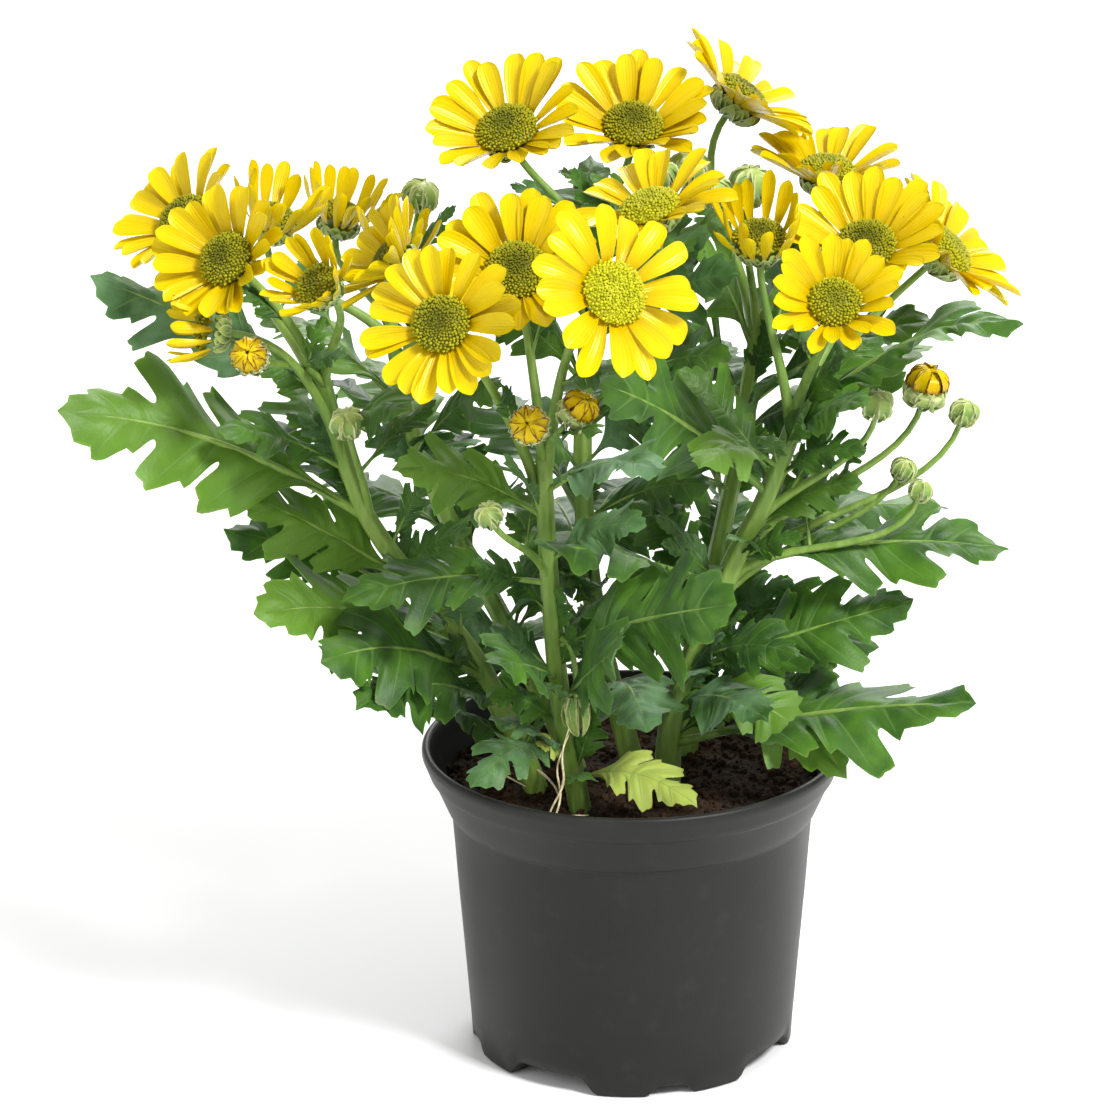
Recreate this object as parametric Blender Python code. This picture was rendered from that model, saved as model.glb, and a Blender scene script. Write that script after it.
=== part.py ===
# Pot chrysanthemum: a yellow daisy-type plant in a round nursery pot.
# Units are metres. The pot stands on z = 0 with its axis on z, and the front of the plant looks along -y.

import math
import random

import bmesh
import bpy
from mathutils import Matrix, Vector

GAP = 0.0003  # between pieces that touch

# Pot: (radius, height) down the outside and back up the inside, where the foot's notches lift the last outer
# ring and the pockets of the floor by the height that notch_height gives.
POT_RIM_RADIUS = 0.060
POT_HEIGHT = 0.090
POT_WALL = 0.0015
POT_OUTSIDE = ((POT_RIM_RADIUS - 0.0012, POT_HEIGHT), (POT_RIM_RADIUS, POT_HEIGHT - 0.0011),
               (POT_RIM_RADIUS, POT_HEIGHT - 0.0026), (0.0578, 0.0822), (0.0570, 0.0815), (0.0527, 0.0715),
               (0.0516, 0.0702), (0.0471, 0.0120))
POT_FOOT_RADIUS = 0.0460
POT_POCKET_RADIUS = 0.0395
POT_FLAT_RADIUS = 0.0300
POT_INSIDE = ((0.0452, 0.0120), (0.0500, 0.0702), (0.0553, 0.0815),
              (POT_RIM_RADIUS - 0.0026, POT_HEIGHT - 0.0011))
NOTCH_TURN = math.radians(-31)
NOTCH_TALL = 0.0050
NOTCH_LOW = 0.0030
QUARTER_ANGLES = (0, 14, 16.5, 27, 37.5, 39.5, 50.5, 52.5, 63, 73.5, 76)
DRAIN_RADIUS = 0.0035
DRAIN_REACH = 0.0370

# Soil
SOIL_TOP = 0.0780
SOIL_RINGS = ((0.0400, 0.0008), (0.0270, -0.0006), (0.0130, 0.0010))
SOIL_SIDES = 18
STEM_FOOT = 0.0600  # height of the stems' lower ends in the soil

# Stems: the points of each leafy stem's middle line from its foot up, and its radius at foot and top.
STEMS = {
    "left": (((-0.024, -0.008, STEM_FOOT), (-0.028, -0.008, 0.080), (-0.037, -0.010, 0.103),
              (-0.046, -0.010, 0.121), (-0.069, -0.014, 0.154), (-0.078, -0.016, 0.174),
              (-0.085, -0.016, 0.203)), 0.0036, 0.0020),
    "inner": (((-0.014, 0.010, STEM_FOOT), (-0.017, 0.010, 0.080), (-0.036, 0.016, 0.119),
               (-0.054, 0.022, 0.153), (-0.063, 0.022, 0.178), (-0.068, 0.022, 0.206)), 0.0032, 0.0019),
    "front": (((-0.013, -0.024, STEM_FOOT), (-0.015, -0.024, 0.080), (-0.020, -0.028, 0.112),
               (-0.023, -0.037, 0.157), (-0.024, -0.044, 0.190)), 0.0033, 0.0021),
    "middle": (((0.002, 0.008, STEM_FOOT), (0.000, 0.009, 0.080), (-0.010, 0.014, 0.120),
                (-0.014, 0.018, 0.160), (-0.013, 0.022, 0.200), (-0.010, 0.026, 0.228)), 0.0034, 0.0020),
    "right": (((0.012, -0.008, STEM_FOOT), (0.010, -0.008, 0.080), (0.013, -0.008, 0.106),
               (0.028, -0.010, 0.146), (0.037, -0.012, 0.166), (0.046, -0.014, 0.192)), 0.0038, 0.0024),
    "back": (((0.016, 0.020, STEM_FOOT), (0.016, 0.022, 0.080), (0.022, 0.034, 0.120),
              (0.030, 0.042, 0.160), (0.036, 0.046, 0.200)), 0.0033, 0.0020),
}
STEM_SIDES = 6
STALK_SIDES = 3
STALK_RADIUS = 0.0011

# Blooms: stem, height of the fork on it, middle of the disc's foot, the way it leans (0 to the front, 90 to
# the right), its lean from upright, ray reach, cup (rise of the rays) and number of rays.
BLOOMS = {
    "bloom_01": ("left", 0.196, (-0.1092, -0.030, 0.2404), -34, 54, 0.0225, 34, 14),
    "bloom_02": ("left", 0.188, (-0.1252, 0.016, 0.2397), -56, 44, 0.0220, 32, 13),
    "bloom_03": ("left", 0.200, (-0.0837, -0.047, 0.2379), -38, 50, 0.0180, 58, 11),
    "bloom_04": ("inner", 0.200, (-0.0996, 0.016, 0.2397), 60, 20, 0.0205, 64, 9),
    "bloom_05": ("inner", 0.205, (-0.0831, 0.050, 0.2320), 60, 16, 0.0195, 66, 10),
    "bloom_06": ("inner", 0.205, (-0.0665, 0.024, 0.2292), 40, 12, 0.0190, 68, 9),
    "bloom_07": ("inner", 0.190, (-0.0663, -0.012, 0.2355), -82, 56, 0.0205, 44, 13),
    "bloom_08": ("front", 0.170, (-0.0500, -0.068, 0.2332), -16, 60, 0.0220, 20, 13),
    "bloom_09": ("front", 0.186, (-0.0308, -0.038, 0.2396), -4, 46, 0.0245, 27, 14),
    "bloom_10": ("front", 0.180, (-0.0046, -0.082, 0.2455), 30, 60, 0.0245, 16, 14),
    "bloom_11": ("middle", 0.200, (0.0048, -0.028, 0.2541), -50, 20, 0.0240, 24, 14),
    "bloom_12": ("middle", 0.226, (-0.0347, 0.022, 0.2637), -24, 34, 0.0250, 36, 13),
    "bloom_13": ("middle", 0.226, (0.0003, 0.040, 0.2605), 4, 30, 0.0250, 36, 14),
    "bloom_14": ("back", 0.195, (0.0311, 0.060, 0.2641), 92, 37, 0.0255, 25, 12),
    "bloom_15": ("back", 0.195, (0.0553, 0.052, 0.2444), 0, 5, 0.0240, 36, 12),
    "bloom_16": ("right", 0.186, (0.0348, -0.016, 0.2425), 0, 28, 0.0215, 72, 10),
    "bloom_17": ("right", 0.190, (0.0647, 0.006, 0.2347), -6, 34, 0.0250, 38, 13),
    "bloom_18": ("right", 0.186, (0.0538, -0.052, 0.2346), 2, 46, 0.0205, 40, 13),
    "bloom_19": ("right", 0.176, (0.0883, 0.026, 0.2278), 80, 46, 0.0255, 27, 13),
    "bloom_20": ("left", 0.178, (-0.1151, -0.034, 0.2215), -86, 84, 0.0175, 74, 8),
}
DISC_SHARE = 0.37  # disc radius over ray reach
RAY_STEPS = ((0.0, 0.0011), (0.66, 0.0030), (1.0, 0.0017))  # share of length, half width
RAY_KEEL = 0.0007
RAY_CURL = math.radians(45)  # from root to tip a flat bloom's ray bends back by this much
STRAIGHT_CUP = math.radians(42)  # rays that rise by this much are straight, and steeper ones bend inwards
CORE_DEPTH = 0.0030
CUP_DEPTH = 0.0036

# Buds: stem, height of the fork, middle of the bud's foot, lean way, lean, radius, and whether yellow rays
# already stand out of it.
BUDS = {
    "bud_01": ("left", 0.200, (-0.102, -0.049, 0.219), -5, 62, 0.0056, True),
    "bud_02": ("front", 0.186, (-0.027, -0.073, 0.207), -5, 66, 0.0058, True),
    "bud_03": ("front", 0.188, (-0.014, -0.062, 0.208), 55, 40, 0.0056, True),
    "bud_04": ("right", 0.144, (0.081, -0.014, 0.200), 45, 15, 0.0066, True),
    "bud_05": ("right", 0.152, (0.067, -0.026, 0.198), 20, 20, 0.0042, False),
    "bud_06": ("right", 0.136, (0.093, 0.006, 0.186), 60, 18, 0.0038, False),
    "bud_07": ("right", 0.132, (0.076, 0.001, 0.171), 60, 30, 0.0034, False),
    "bud_08": ("right", 0.140, (0.080, -0.012, 0.169), 80, 15, 0.0032, False),
    "bud_09": ("middle", 0.222, (0.016, 0.030, 0.250), 20, 20, 0.0052, False),
    "bud_10": ("middle", 0.222, (0.008, 0.006, 0.254), 0, 20, 0.0046, False),
    "bud_11": ("middle", 0.222, (0.023, 0.008, 0.249), 10, 20, 0.0046, False),
    "bud_12": ("back", 0.198, (0.033, 0.024, 0.247), 20, 20, 0.0056, False),
    "bud_13": ("left", 0.160, (-0.077, -0.036, 0.196), -5, 35, 0.0044, False),
    "bud_14": ("inner", 0.204, (-0.061, 0.066, 0.233), 30, 20, 0.0050, False),
    "bud_15": ("front", 0.150, (-0.038, -0.064, 0.179), -20, 40, 0.0036, False),
}

# Leaves: stem, height of the joint on it, tip, arch (rise of the middle over the chord), how far the blade
# faces the front (0 looks up, 1 halfway to the front, below 0 to the back) and width.
LEAVES = (
    ("left", 0.162, (-0.155, -0.042, 0.201), 0.08, 0.8, 0.95),
    ("left", 0.196, (-0.149, -0.006, 0.229), 0.05, 0.6, 0.80),
    ("left", 0.140, (-0.110, -0.028, 0.175), 0.04, 0.8, 0.85),
    ("left", 0.124, (-0.103, -0.050, 0.146), 0.08, 1.1, 1.00),
    ("left", 0.134, (-0.114, -0.010, 0.157), 0.06, 0.7, 0.95),
    ("left", 0.112, (-0.084, -0.060, 0.136), 0.10, 1.1, 1.05),
    ("left", 0.104, (-0.075, -0.056, 0.121), 0.12, 1.0, 0.95),
    ("left", 0.090, (-0.060, -0.030, 0.111), 0.12, 0.3, 1.00),
    ("left", 0.176, (-0.112, -0.040, 0.196), 0.08, 0.6, 0.80),
    ("left", 0.186, (-0.060, -0.050, 0.204), 0.10, 0.8, 0.90),
    ("left", 0.152, (-0.110, 0.024, 0.180), 0.12, -0.3, 0.90),
    ("inner", 0.170, (-0.050, -0.018, 0.176), 0.12, 1.2, 1.00),
    ("inner", 0.182, (-0.108, 0.044, 0.206), 0.10, 0.0, 0.90),
    ("inner", 0.160, (-0.078, 0.080, 0.180), 0.12, -0.3, 1.00),
    ("inner", 0.138, (-0.094, 0.060, 0.146), 0.16, 0.0, 1.00),
    ("inner", 0.116, (-0.072, 0.070, 0.122), 0.16, 0.0, 1.00),
    ("inner", 0.100, (-0.074, 0.028, 0.114), 0.14, 0.2, 1.00),
    ("front", 0.150, (-0.079, -0.050, 0.150), 0.08, 0.6, 0.90),
    ("front", 0.130, (0.028, -0.070, 0.156), 0.03, 1.6, 1.15),
    ("front", 0.120, (-0.036, -0.072, 0.140), 0.04, 1.2, 1.00),
    ("front", 0.112, (-0.003, -0.074, 0.146), 0.02, 1.3, 0.95),
    ("front", 0.170, (-0.064, -0.058, 0.190), 0.10, 1.2, 0.90),
    ("front", 0.178, (0.008, -0.084, 0.198), 0.10, 0.6, 0.80),
    ("front", 0.096, (-0.044, -0.062, 0.100), 0.16, 0.4, 0.90),
    ("front", 0.088, (0.018, -0.050, 0.090), 0.14, 0.6, 0.90),
    ("middle", 0.190, (-0.046, 0.000, 0.222), 0.10, 0.8, 0.90),
    ("middle", 0.176, (0.020, -0.004, 0.196), 0.14, 0.9, 1.00),
    ("middle", 0.124, (0.022, -0.034, 0.142), 0.10, 0.9, 1.00),
    ("middle", 0.102, (0.004, -0.046, 0.110), 0.12, 0.9, 1.00),
    ("middle", 0.150, (-0.046, 0.074, 0.172), 0.12, -0.2, 1.00),
    ("middle", 0.128, (-0.028, 0.088, 0.132), 0.16, 0.0, 1.00),
    ("middle", 0.214, (-0.012, 0.070, 0.244), 0.10, -0.2, 0.90),
    ("middle", 0.104, (-0.036, 0.066, 0.100), 0.14, 0.0, 0.95),
    ("right", 0.146, (0.106, -0.005, 0.150), 0.06, 0.5, 0.80),
    ("right", 0.114, (0.079, -0.012, 0.137), 0.02, 0.9, 0.90),
    ("right", 0.092, (0.095, -0.038, 0.116), 0.04, 0.35, 0.85),
    ("right", 0.102, (0.060, -0.008, 0.108), 0.12, 0.9, 0.95),
    ("right", 0.168, (-0.010, -0.056, 0.214), 0.06, 1.2, 0.85),
    ("right", 0.140, (-0.026, -0.062, 0.171), 0.03, 0.2, 0.80),
    ("right", 0.110, (0.060, -0.034, 0.092), 0.14, 0.9, 0.95),
    ("right", 0.104, (0.037, -0.052, 0.116), 0.10, 0.9, 0.90),
    ("right", 0.190, (0.104, -0.050, 0.229), 0.11, 0.3, 0.60),
    ("right", 0.176, (0.018, -0.056, 0.190), 0.12, 0.8, 0.85),
    ("right", 0.180, (0.063, -0.045, 0.204), 0.14, 0.8, 0.90),
    ("back", 0.100, (0.072, 0.034, 0.106), 0.14, 0.4, 1.00),
    ("back", 0.112, (0.062, 0.012, 0.124), 0.10, 0.9, 1.00),
    ("back", 0.130, (0.092, 0.042, 0.146), 0.12, 0.2, 1.00),
    ("back", 0.160, (0.088, 0.064, 0.188), 0.12, 0.0, 0.95),
    ("back", 0.186, (0.056, 0.094, 0.214), 0.12, -0.2, 0.90),
    ("back", 0.120, (0.046, 0.098, 0.126), 0.14, 0.0, 1.00),
    ("back", 0.146, (0.012, 0.102, 0.166), 0.14, -0.2, 1.00),
    ("back", 0.176, (0.086, 0.030, 0.206), 0.10, 0.5, 0.90),
)
# Half outline of a leaf as (share of its length, half width over its length), from the joint to the tip.
LEAF_OUTLINE = ((0.00, 0.013), (0.18, 0.018), (0.27, 0.070), (0.37, 0.190), (0.48, 0.205), (0.47, 0.085),
                (0.60, 0.235), (0.72, 0.215), (0.68, 0.090), (0.86, 0.120))
# Points on the rib, each with the last outline point that its fan of triangles reaches.
LEAF_RIB = ((0.12, 1), (0.33, 5), (0.52, 8), (0.72, 10))
LEAF_ABOVE = 0.0003
LEAF_BELOW = 0.0009
LEAF_FOLD = 0.20  # how far the edges hang, over the distance from the rib
LEAF_WAVE = 0.05

COLOURS = {
    "pot": ((0.045, 0.045, 0.044, 1), 0.45),
    "soil": ((0.030, 0.018, 0.010, 1), 0.95),
    "green": ((0.085, 0.190, 0.045, 1), 0.55),
    "yellow": ((0.900, 0.620, 0.010, 1), 0.55),
    "disc": ((0.260, 0.300, 0.015, 1), 0.75),
}


def clear_scene():
    for thing in list(bpy.data.objects):
        bpy.data.objects.remove(thing, do_unlink=True)


def make_material(name):
    colour, roughness = COLOURS[name]
    material = bpy.data.materials.new(name)
    material.use_nodes = True
    shader = material.node_tree.nodes["Principled BSDF"]
    shader.inputs["Base Color"].default_value = colour
    shader.inputs["Roughness"].default_value = roughness
    shader.inputs["Metallic"].default_value = 0.0
    material.diffuse_color = colour
    return material


def make_object(name, points, faces, material=None):
    mesh = bpy.data.meshes.new(name)
    mesh.from_pydata([tuple(p) for p in points], [], faces)
    shape = bmesh.new()
    shape.from_mesh(mesh)
    bmesh.ops.recalc_face_normals(shape, faces=shape.faces)
    shape.to_mesh(mesh)
    shape.free()
    thing = bpy.data.objects.new(name, mesh)
    bpy.context.scene.collection.objects.link(thing)
    if material:
        thing.data.materials.append(material)
    return thing


def apply_modifiers(thing):
    graph = bpy.context.evaluated_depsgraph_get()
    mesh = bpy.data.meshes.new_from_object(thing.evaluated_get(graph))
    mesh.name = thing.name
    thing.modifiers.clear()
    thing.data = mesh


def join_pieces(name, pieces, material):
    """One solid from overlapping pieces, each given as (points, faces)."""
    first, rest = pieces[0], pieces[1:]
    whole = make_object(name, *first, material)
    group = bpy.data.collections.new(name + "_parts")
    for index, piece in enumerate(rest):
        part = make_object(f"{name}_{index}", *piece)
        bpy.context.scene.collection.objects.unlink(part)
        group.objects.link(part)
    union = whole.modifiers.new("join", "BOOLEAN")
    union.operation = "UNION"
    union.operand_type = "COLLECTION"
    union.collection = group
    union.solver = "MANIFOLD"
    bpy.context.view_layer.update()
    apply_modifiers(whole)
    for part in list(group.objects):
        bpy.data.objects.remove(part, do_unlink=True)
    bpy.data.collections.remove(group)
    return whole


def grid_faces(rows, columns, closed_ends):
    """Quads between rings of points, with the first and last ring closed where asked."""
    faces = []
    for row in range(rows - 1):
        for column in range(columns):
            after = (column + 1) % columns
            low, high = row * columns, (row + 1) * columns
            faces.append((low + column, low + after, high + after, high + column))
    if closed_ends:
        faces.append(tuple(range(columns - 1, -1, -1)))
        faces.append(tuple((rows - 1) * columns + column for column in range(columns)))
    return faces


def ring(middle, along, radius, sides, start=0.0):
    """Points of a circle round an axis through the middle."""
    side = along.cross(Vector((0.3, 1.0, 0.2))).normalized()
    other = along.cross(side).normalized()
    angles = (start + 2 * math.pi * k / sides for k in range(sides))
    return [middle + radius * (math.cos(a) * side + math.sin(a) * other) for a in angles]


def tube(points, radii, sides):
    rows = []
    for index, point in enumerate(points):
        before, after = points[max(index - 1, 0)], points[min(index + 1, len(points) - 1)]
        rows += ring(point, (after - before).normalized(), radii[index], sides)
    return rows, grid_faces(len(points), sides, True)


def lathe(profile, middle, along, sides):
    """A closed solid turned round an axis, from (radius, height along the axis) pairs."""
    rows = []
    for radius, height in profile:
        rows += ring(middle + along * height, along, radius, sides)
    return rows, grid_faces(len(profile), sides, True)


def smooth_path(points, steps):
    """A curve through the points, with so many steps from one to the next."""
    points = [Vector(p) for p in points]
    ends = [2 * points[0] - points[1]] + points + [2 * points[-1] - points[-2]]
    path = []
    for a, b, c, d in zip(ends, ends[1:], ends[2:], ends[3:]):
        for step in range(steps):
            t = step / steps
            path.append(0.5 * (2 * b + (c - a) * t + (2 * a - 5 * b + 4 * c - d) * t ** 2
                               + (3 * b - a - 3 * c + d) * t ** 3))
    return path + [points[-1]]


def bend(start, leave, arrive, end, steps):
    """A curve from start to end that leaves and arrives along the given offsets."""
    one, two = start + leave, end - arrive
    path = []
    for step in range(steps + 1):
        t = step / steps
        path.append((1 - t) ** 3 * start + 3 * t * (1 - t) ** 2 * one + 3 * t * t * (1 - t) * two
                    + t ** 3 * end)
    return path


def direction(way, lean):
    """Unit vector that leans from upright, 0 degrees of way being the front and 90 the right."""
    way, lean = math.radians(way), math.radians(lean)
    return Vector((math.sin(way) * math.sin(lean), -math.cos(way) * math.sin(lean), math.cos(lean)))


def stem_point(stem, height):
    """Where a stem's middle line passes a height."""
    path = smooth_path(STEMS[stem][0], 4)
    for low, high in zip(path, path[1:]):
        if low.z <= height <= high.z:
            return low.lerp(high, (height - low.z) / (high.z - low.z))
    return path[-1]


def notch_height(angle):
    """How far the foot's edge is off the ground, by the angle from the first tall notch in degrees."""
    turn = angle % 90
    if turn <= 14 or turn >= 76:
        return NOTCH_TALL
    return NOTCH_LOW if 39.5 <= turn <= 50.5 else 0.0


def pot_pieces():
    angles = [quarter * 90 + angle for quarter in range(4) for angle in QUARTER_ANGLES]
    rows = [[(radius, height) for _ in angles] for radius, height in POT_OUTSIDE]
    rows.append([(POT_FOOT_RADIUS, notch_height(a)) for a in angles])
    rows.append([(POT_POCKET_RADIUS, notch_height(a)) for a in angles])
    rows.append([(POT_FLAT_RADIUS, 0.0) for _ in angles])
    rows.append([(POT_FLAT_RADIUS - 0.0005, POT_WALL) for _ in angles])
    rows.append([(POT_POCKET_RADIUS, notch_height(a) + POT_WALL) for a in angles])
    rows.append([(POT_FOOT_RADIUS - POT_WALL, notch_height(a) + POT_WALL) for a in angles])
    rows += [[(radius, height) for _ in angles] for radius, height in POT_INSIDE]
    points, faces, count = [], [], len(angles)
    for row in rows:
        for (radius, height), angle in zip(row, angles):
            turn = NOTCH_TURN + math.radians(angle)
            points.append(Vector((radius * math.sin(turn), -radius * math.cos(turn), height)))
    flat_below, flat_above = len(POT_OUTSIDE) + 2, len(POT_OUTSIDE) + 3
    for row in range(len(rows)):
        after = (row + 1) % len(rows)
        if row == flat_below:
            continue
        for column in range(count):
            right = (column + 1) % count
            faces.append((row * count + column, row * count + right, after * count + right,
                          after * count + column))
    for row, height in ((flat_below, 0.0), (flat_above, POT_WALL)):
        centre = len(points)
        points.append(Vector((0, 0, height)))
        faces += [(row * count + column, row * count + (column + 1) % count, centre)
                  for column in range(count)]
    return points, faces


def add_boolean(thing, cutter, name):
    cutter.hide_render = True
    cutter.display_type = "WIRE"
    cut = thing.modifiers.new(name, "BOOLEAN")
    cut.operation = "DIFFERENCE"
    cut.object = cutter
    cut.solver = "EXACT"


def build_pot(material):
    pot = make_object("pot", *pot_pieces(), material)
    for quarter in range(4):
        turn = NOTCH_TURN + math.radians(quarter * 90)
        middle = Vector((DRAIN_REACH * math.sin(turn), -DRAIN_REACH * math.cos(turn), -0.002))
        solid = lathe(((DRAIN_RADIUS, 0), (DRAIN_RADIUS, 0.0125)), middle, Vector((0, 0, 1)), 8)
        add_boolean(pot, make_object(f"drain_drill_{quarter}", *solid), f"drain_{quarter}")
    return pot


def build_soil(material):
    up = Vector((0, 0, 1))
    draw = random.Random(4)
    (low_radius, low_height), (high_radius, high_height) = POT_INSIDE[1:3]
    share = (SOIL_TOP - low_height) / (high_height - low_height)
    top_radius = low_radius + (high_radius - low_radius) * share - 2 * GAP
    low = NOTCH_TALL + POT_WALL + GAP
    profile = [(POT_FLAT_RADIUS - 0.002, POT_WALL + GAP), (POT_POCKET_RADIUS - GAP, low),
               (POT_FOOT_RADIUS - POT_WALL - 3 * GAP, low), (POT_INSIDE[0][0] - 2 * GAP, POT_INSIDE[0][1]),
               (POT_INSIDE[1][0] - 2 * GAP, POT_INSIDE[1][1]), (top_radius, SOIL_TOP)]
    rows = []
    for radius, height in profile:
        rows += ring(up * height, up, radius, SOIL_SIDES)
    for radius, rise in SOIL_RINGS:
        for point in ring(up * SOIL_TOP, up, radius, SOIL_SIDES):
            rows.append(point + up * (rise + draw.uniform(-0.0008, 0.0012)))
    faces = grid_faces(len(rows) // SOIL_SIDES, SOIL_SIDES, True)
    soil = make_object("soil", rows, faces, material)
    for name, (points, foot_radius, _) in STEMS.items():
        path = smooth_path(points, 2)[:4]
        path[0] = path[0] - (path[1] - path[0]).normalized() * GAP
        drill = make_object(name + "_hole", *tube(path, [foot_radius + GAP] * 4, STEM_SIDES))
        add_boolean(soil, drill, name)
    return soil


def ray(middle, frame, angle, reach, cup, width, disc_radius):
    """One ray: a folded strap with a keel below, rooted in the bloom's core."""
    out, side, up = (frame @ Vector(v) for v in ((math.cos(angle), math.sin(angle), 0),
                                                (-math.sin(angle), math.cos(angle), 0), (0, 0, 1)))
    length = reach - 0.72 * disc_radius
    spot = middle + out * (0.72 + 0.20 * math.sin(cup) ** 4) * disc_radius - up * 0.0019
    points, done = [], 0.0
    for share, half in RAY_STEPS:
        rise = cup + RAY_CURL * (0.4 - share) * (1 - cup / STRAIGHT_CUP)
        ahead = math.cos(rise) * out + math.sin(rise) * up
        normal = math.cos(rise) * up - math.sin(rise) * out
        spot = spot + ahead * length * (share - done)
        done = share
        edge = spot + normal * 0.22 * half * width
        keel = RAY_KEEL if share else 0.5 * RAY_KEEL
        points += [edge + side * half * width, edge - side * half * width, spot - normal * keel]
    return points, grid_faces(len(RAY_STEPS), 3, True)


def bloom_frame(way, lean):
    axis = direction(way, lean)
    side = Vector((0, 0, 1)).cross(axis).normalized()
    return Matrix((side, axis.cross(side), axis)).transposed()


def disc_radius_of(reach, cup):
    return DISC_SHARE * reach * (1 - 0.12 * math.sin(math.radians(cup)))


def build_rays(name, bloom, material):
    _, _, place, way, lean, reach, cup, count = bloom
    middle, frame = Vector(place), bloom_frame(way, lean)
    axis = direction(way, lean)
    draw = random.Random(name)
    disc_radius = DISC_SHARE * reach
    pieces = [lathe(((0.86 * disc_radius, -CORE_DEPTH), (1.06 * disc_radius, -GAP)), middle, axis, 7)]
    for index in range(count):
        angle = 2 * math.pi * (index + draw.uniform(-0.07, 0.07)) / count
        outer = index % 2
        rise = math.radians(cup + (6, -5)[outer] + draw.uniform(-4, 4))
        long = reach * (0.96, 1.0)[outer] * draw.uniform(0.93, 1.0)
        width = reach / 0.022 * draw.uniform(0.9, 1.08) * (15 / count - 0.3 * math.sin(rise) ** 4)
        pieces.append(ray(middle, frame, angle, long, rise, min(width, 1.12), disc_radius))
    return join_pieces(name + "_rays", pieces, material)


def build_disc(name, bloom, material):
    """A low dome whose facets rise and fall like rows of florets."""
    _, _, place, way, lean, reach, cup, _ = bloom
    middle, axis = Vector(place), direction(way, lean)
    radius = disc_radius_of(reach, cup) * 0.97
    sides = 8
    rows = ring(middle, axis, radius, sides)
    for step, (share, height, relief) in enumerate(((0.88, 0.0024, 0.0004), (0.50, 0.0035, 0.0004))):
        level = ring(middle + axis * height, axis, share * radius, sides, step * math.pi / sides)
        rows += [point + axis * relief * (-1) ** index for index, point in enumerate(level)]
    return make_object(name + "_disc", rows, grid_faces(3, sides, True), material)


def stalk(stem, height, foot, axis, radius):
    """From a fork on a stem to the foot of a bloom or bud, with the radius at both ends."""
    start = stem_point(stem, height)
    span = (foot - start).length
    leave = (Vector((0, 0, 1)) + (foot - start) / span) * 0.2 * span
    path = bend(start, leave, axis * 0.35 * span, foot, 3)
    radii = [radius * (1.1 + 12 * span), radius * (1 + 8 * span), radius * 1.1, radius]
    return tube(path, radii, STALK_SIDES)


def bloom_greens(bloom):
    """The stalk of a bloom and the cup that holds it."""
    stem, height, place, way, lean, reach, _, _ = bloom
    axis = direction(way, lean)
    middle = Vector(place)
    size = DISC_SHARE * reach
    top = -CORE_DEPTH - GAP
    cup = lathe(((0.0014, top - CUP_DEPTH), (0.66 * size, top - 0.6 * CUP_DEPTH), (0.80 * size, top)),
                middle, axis, 6)
    foot = middle + axis * (top - 0.7 * CUP_DEPTH)
    return [stalk(stem, height, foot, axis, STALK_RADIUS), cup]


def bud_greens(bud):
    """The stalk of a bud and its green cup, or the whole closed head."""
    stem, height, place, way, lean, radius, opening = bud
    axis, middle = direction(way, lean), Vector(place)
    if opening:
        profile = ((0.25, -0.95), (0.78, -0.62), (1.0, -0.1), (0.80, 0.0))
    else:
        profile = ((0.25, -0.95), (0.90, -0.45), (0.92, 0.45), (0.35, 0.98))
    head = lathe([(r * radius, h * radius) for r, h in profile], middle, axis, 6)
    foot = middle - axis * 0.7 * radius
    return [stalk(stem, height, foot, axis, STALK_RADIUS * 0.85), head]


def build_bud_rays(name, bud, material):
    """Short closed rays that stand in a ring out of an opening bud, as ridges on a dome."""
    _, _, place, way, lean, radius, _ = bud
    axis, middle = direction(way, lean), Vector(place) + direction(way, lean) * GAP
    sides, rows = 12, []
    for share, height, relief in ((0.76, 0.0, 0.0), (0.92, 0.70, 0.10), (0.40, 1.20, 0.08)):
        for index, point in enumerate(ring(middle + axis * height * radius, axis, share * radius, sides)):
            rows.append(point + (point - middle - axis * height * radius).normalized()
                        * relief * radius * (-1) ** index)
    return make_object(name + "_rays", rows, grid_faces(3, sides, True), material)


def leaf_pattern():
    """Flat triangles of a leaf, shared by its upper and lower face: points, faces and number on the edge."""
    last = len(LEAF_OUTLINE)
    near = [(u, -v) for u, v in LEAF_OUTLINE]
    far = [(u, v) for u, v in LEAF_OUTLINE]
    points = near + [(1.0, 0.0)] + far[::-1] + [(u, 0.0) for u, _ in LEAF_RIB]
    edge_count = 2 * last + 1
    faces = [(0, edge_count, edge_count - 1)]
    start = 0
    for rib, (_, end) in enumerate(LEAF_RIB, edge_count):
        for k in range(start, end):
            faces += [(k, k + 1, rib), (2 * last - k - 1, 2 * last - k, rib)]
        if end < last:
            faces += [(rib, end, rib + 1), (rib + 1, 2 * last - end, rib)]
        start = end
    return points, faces, edge_count


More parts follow.
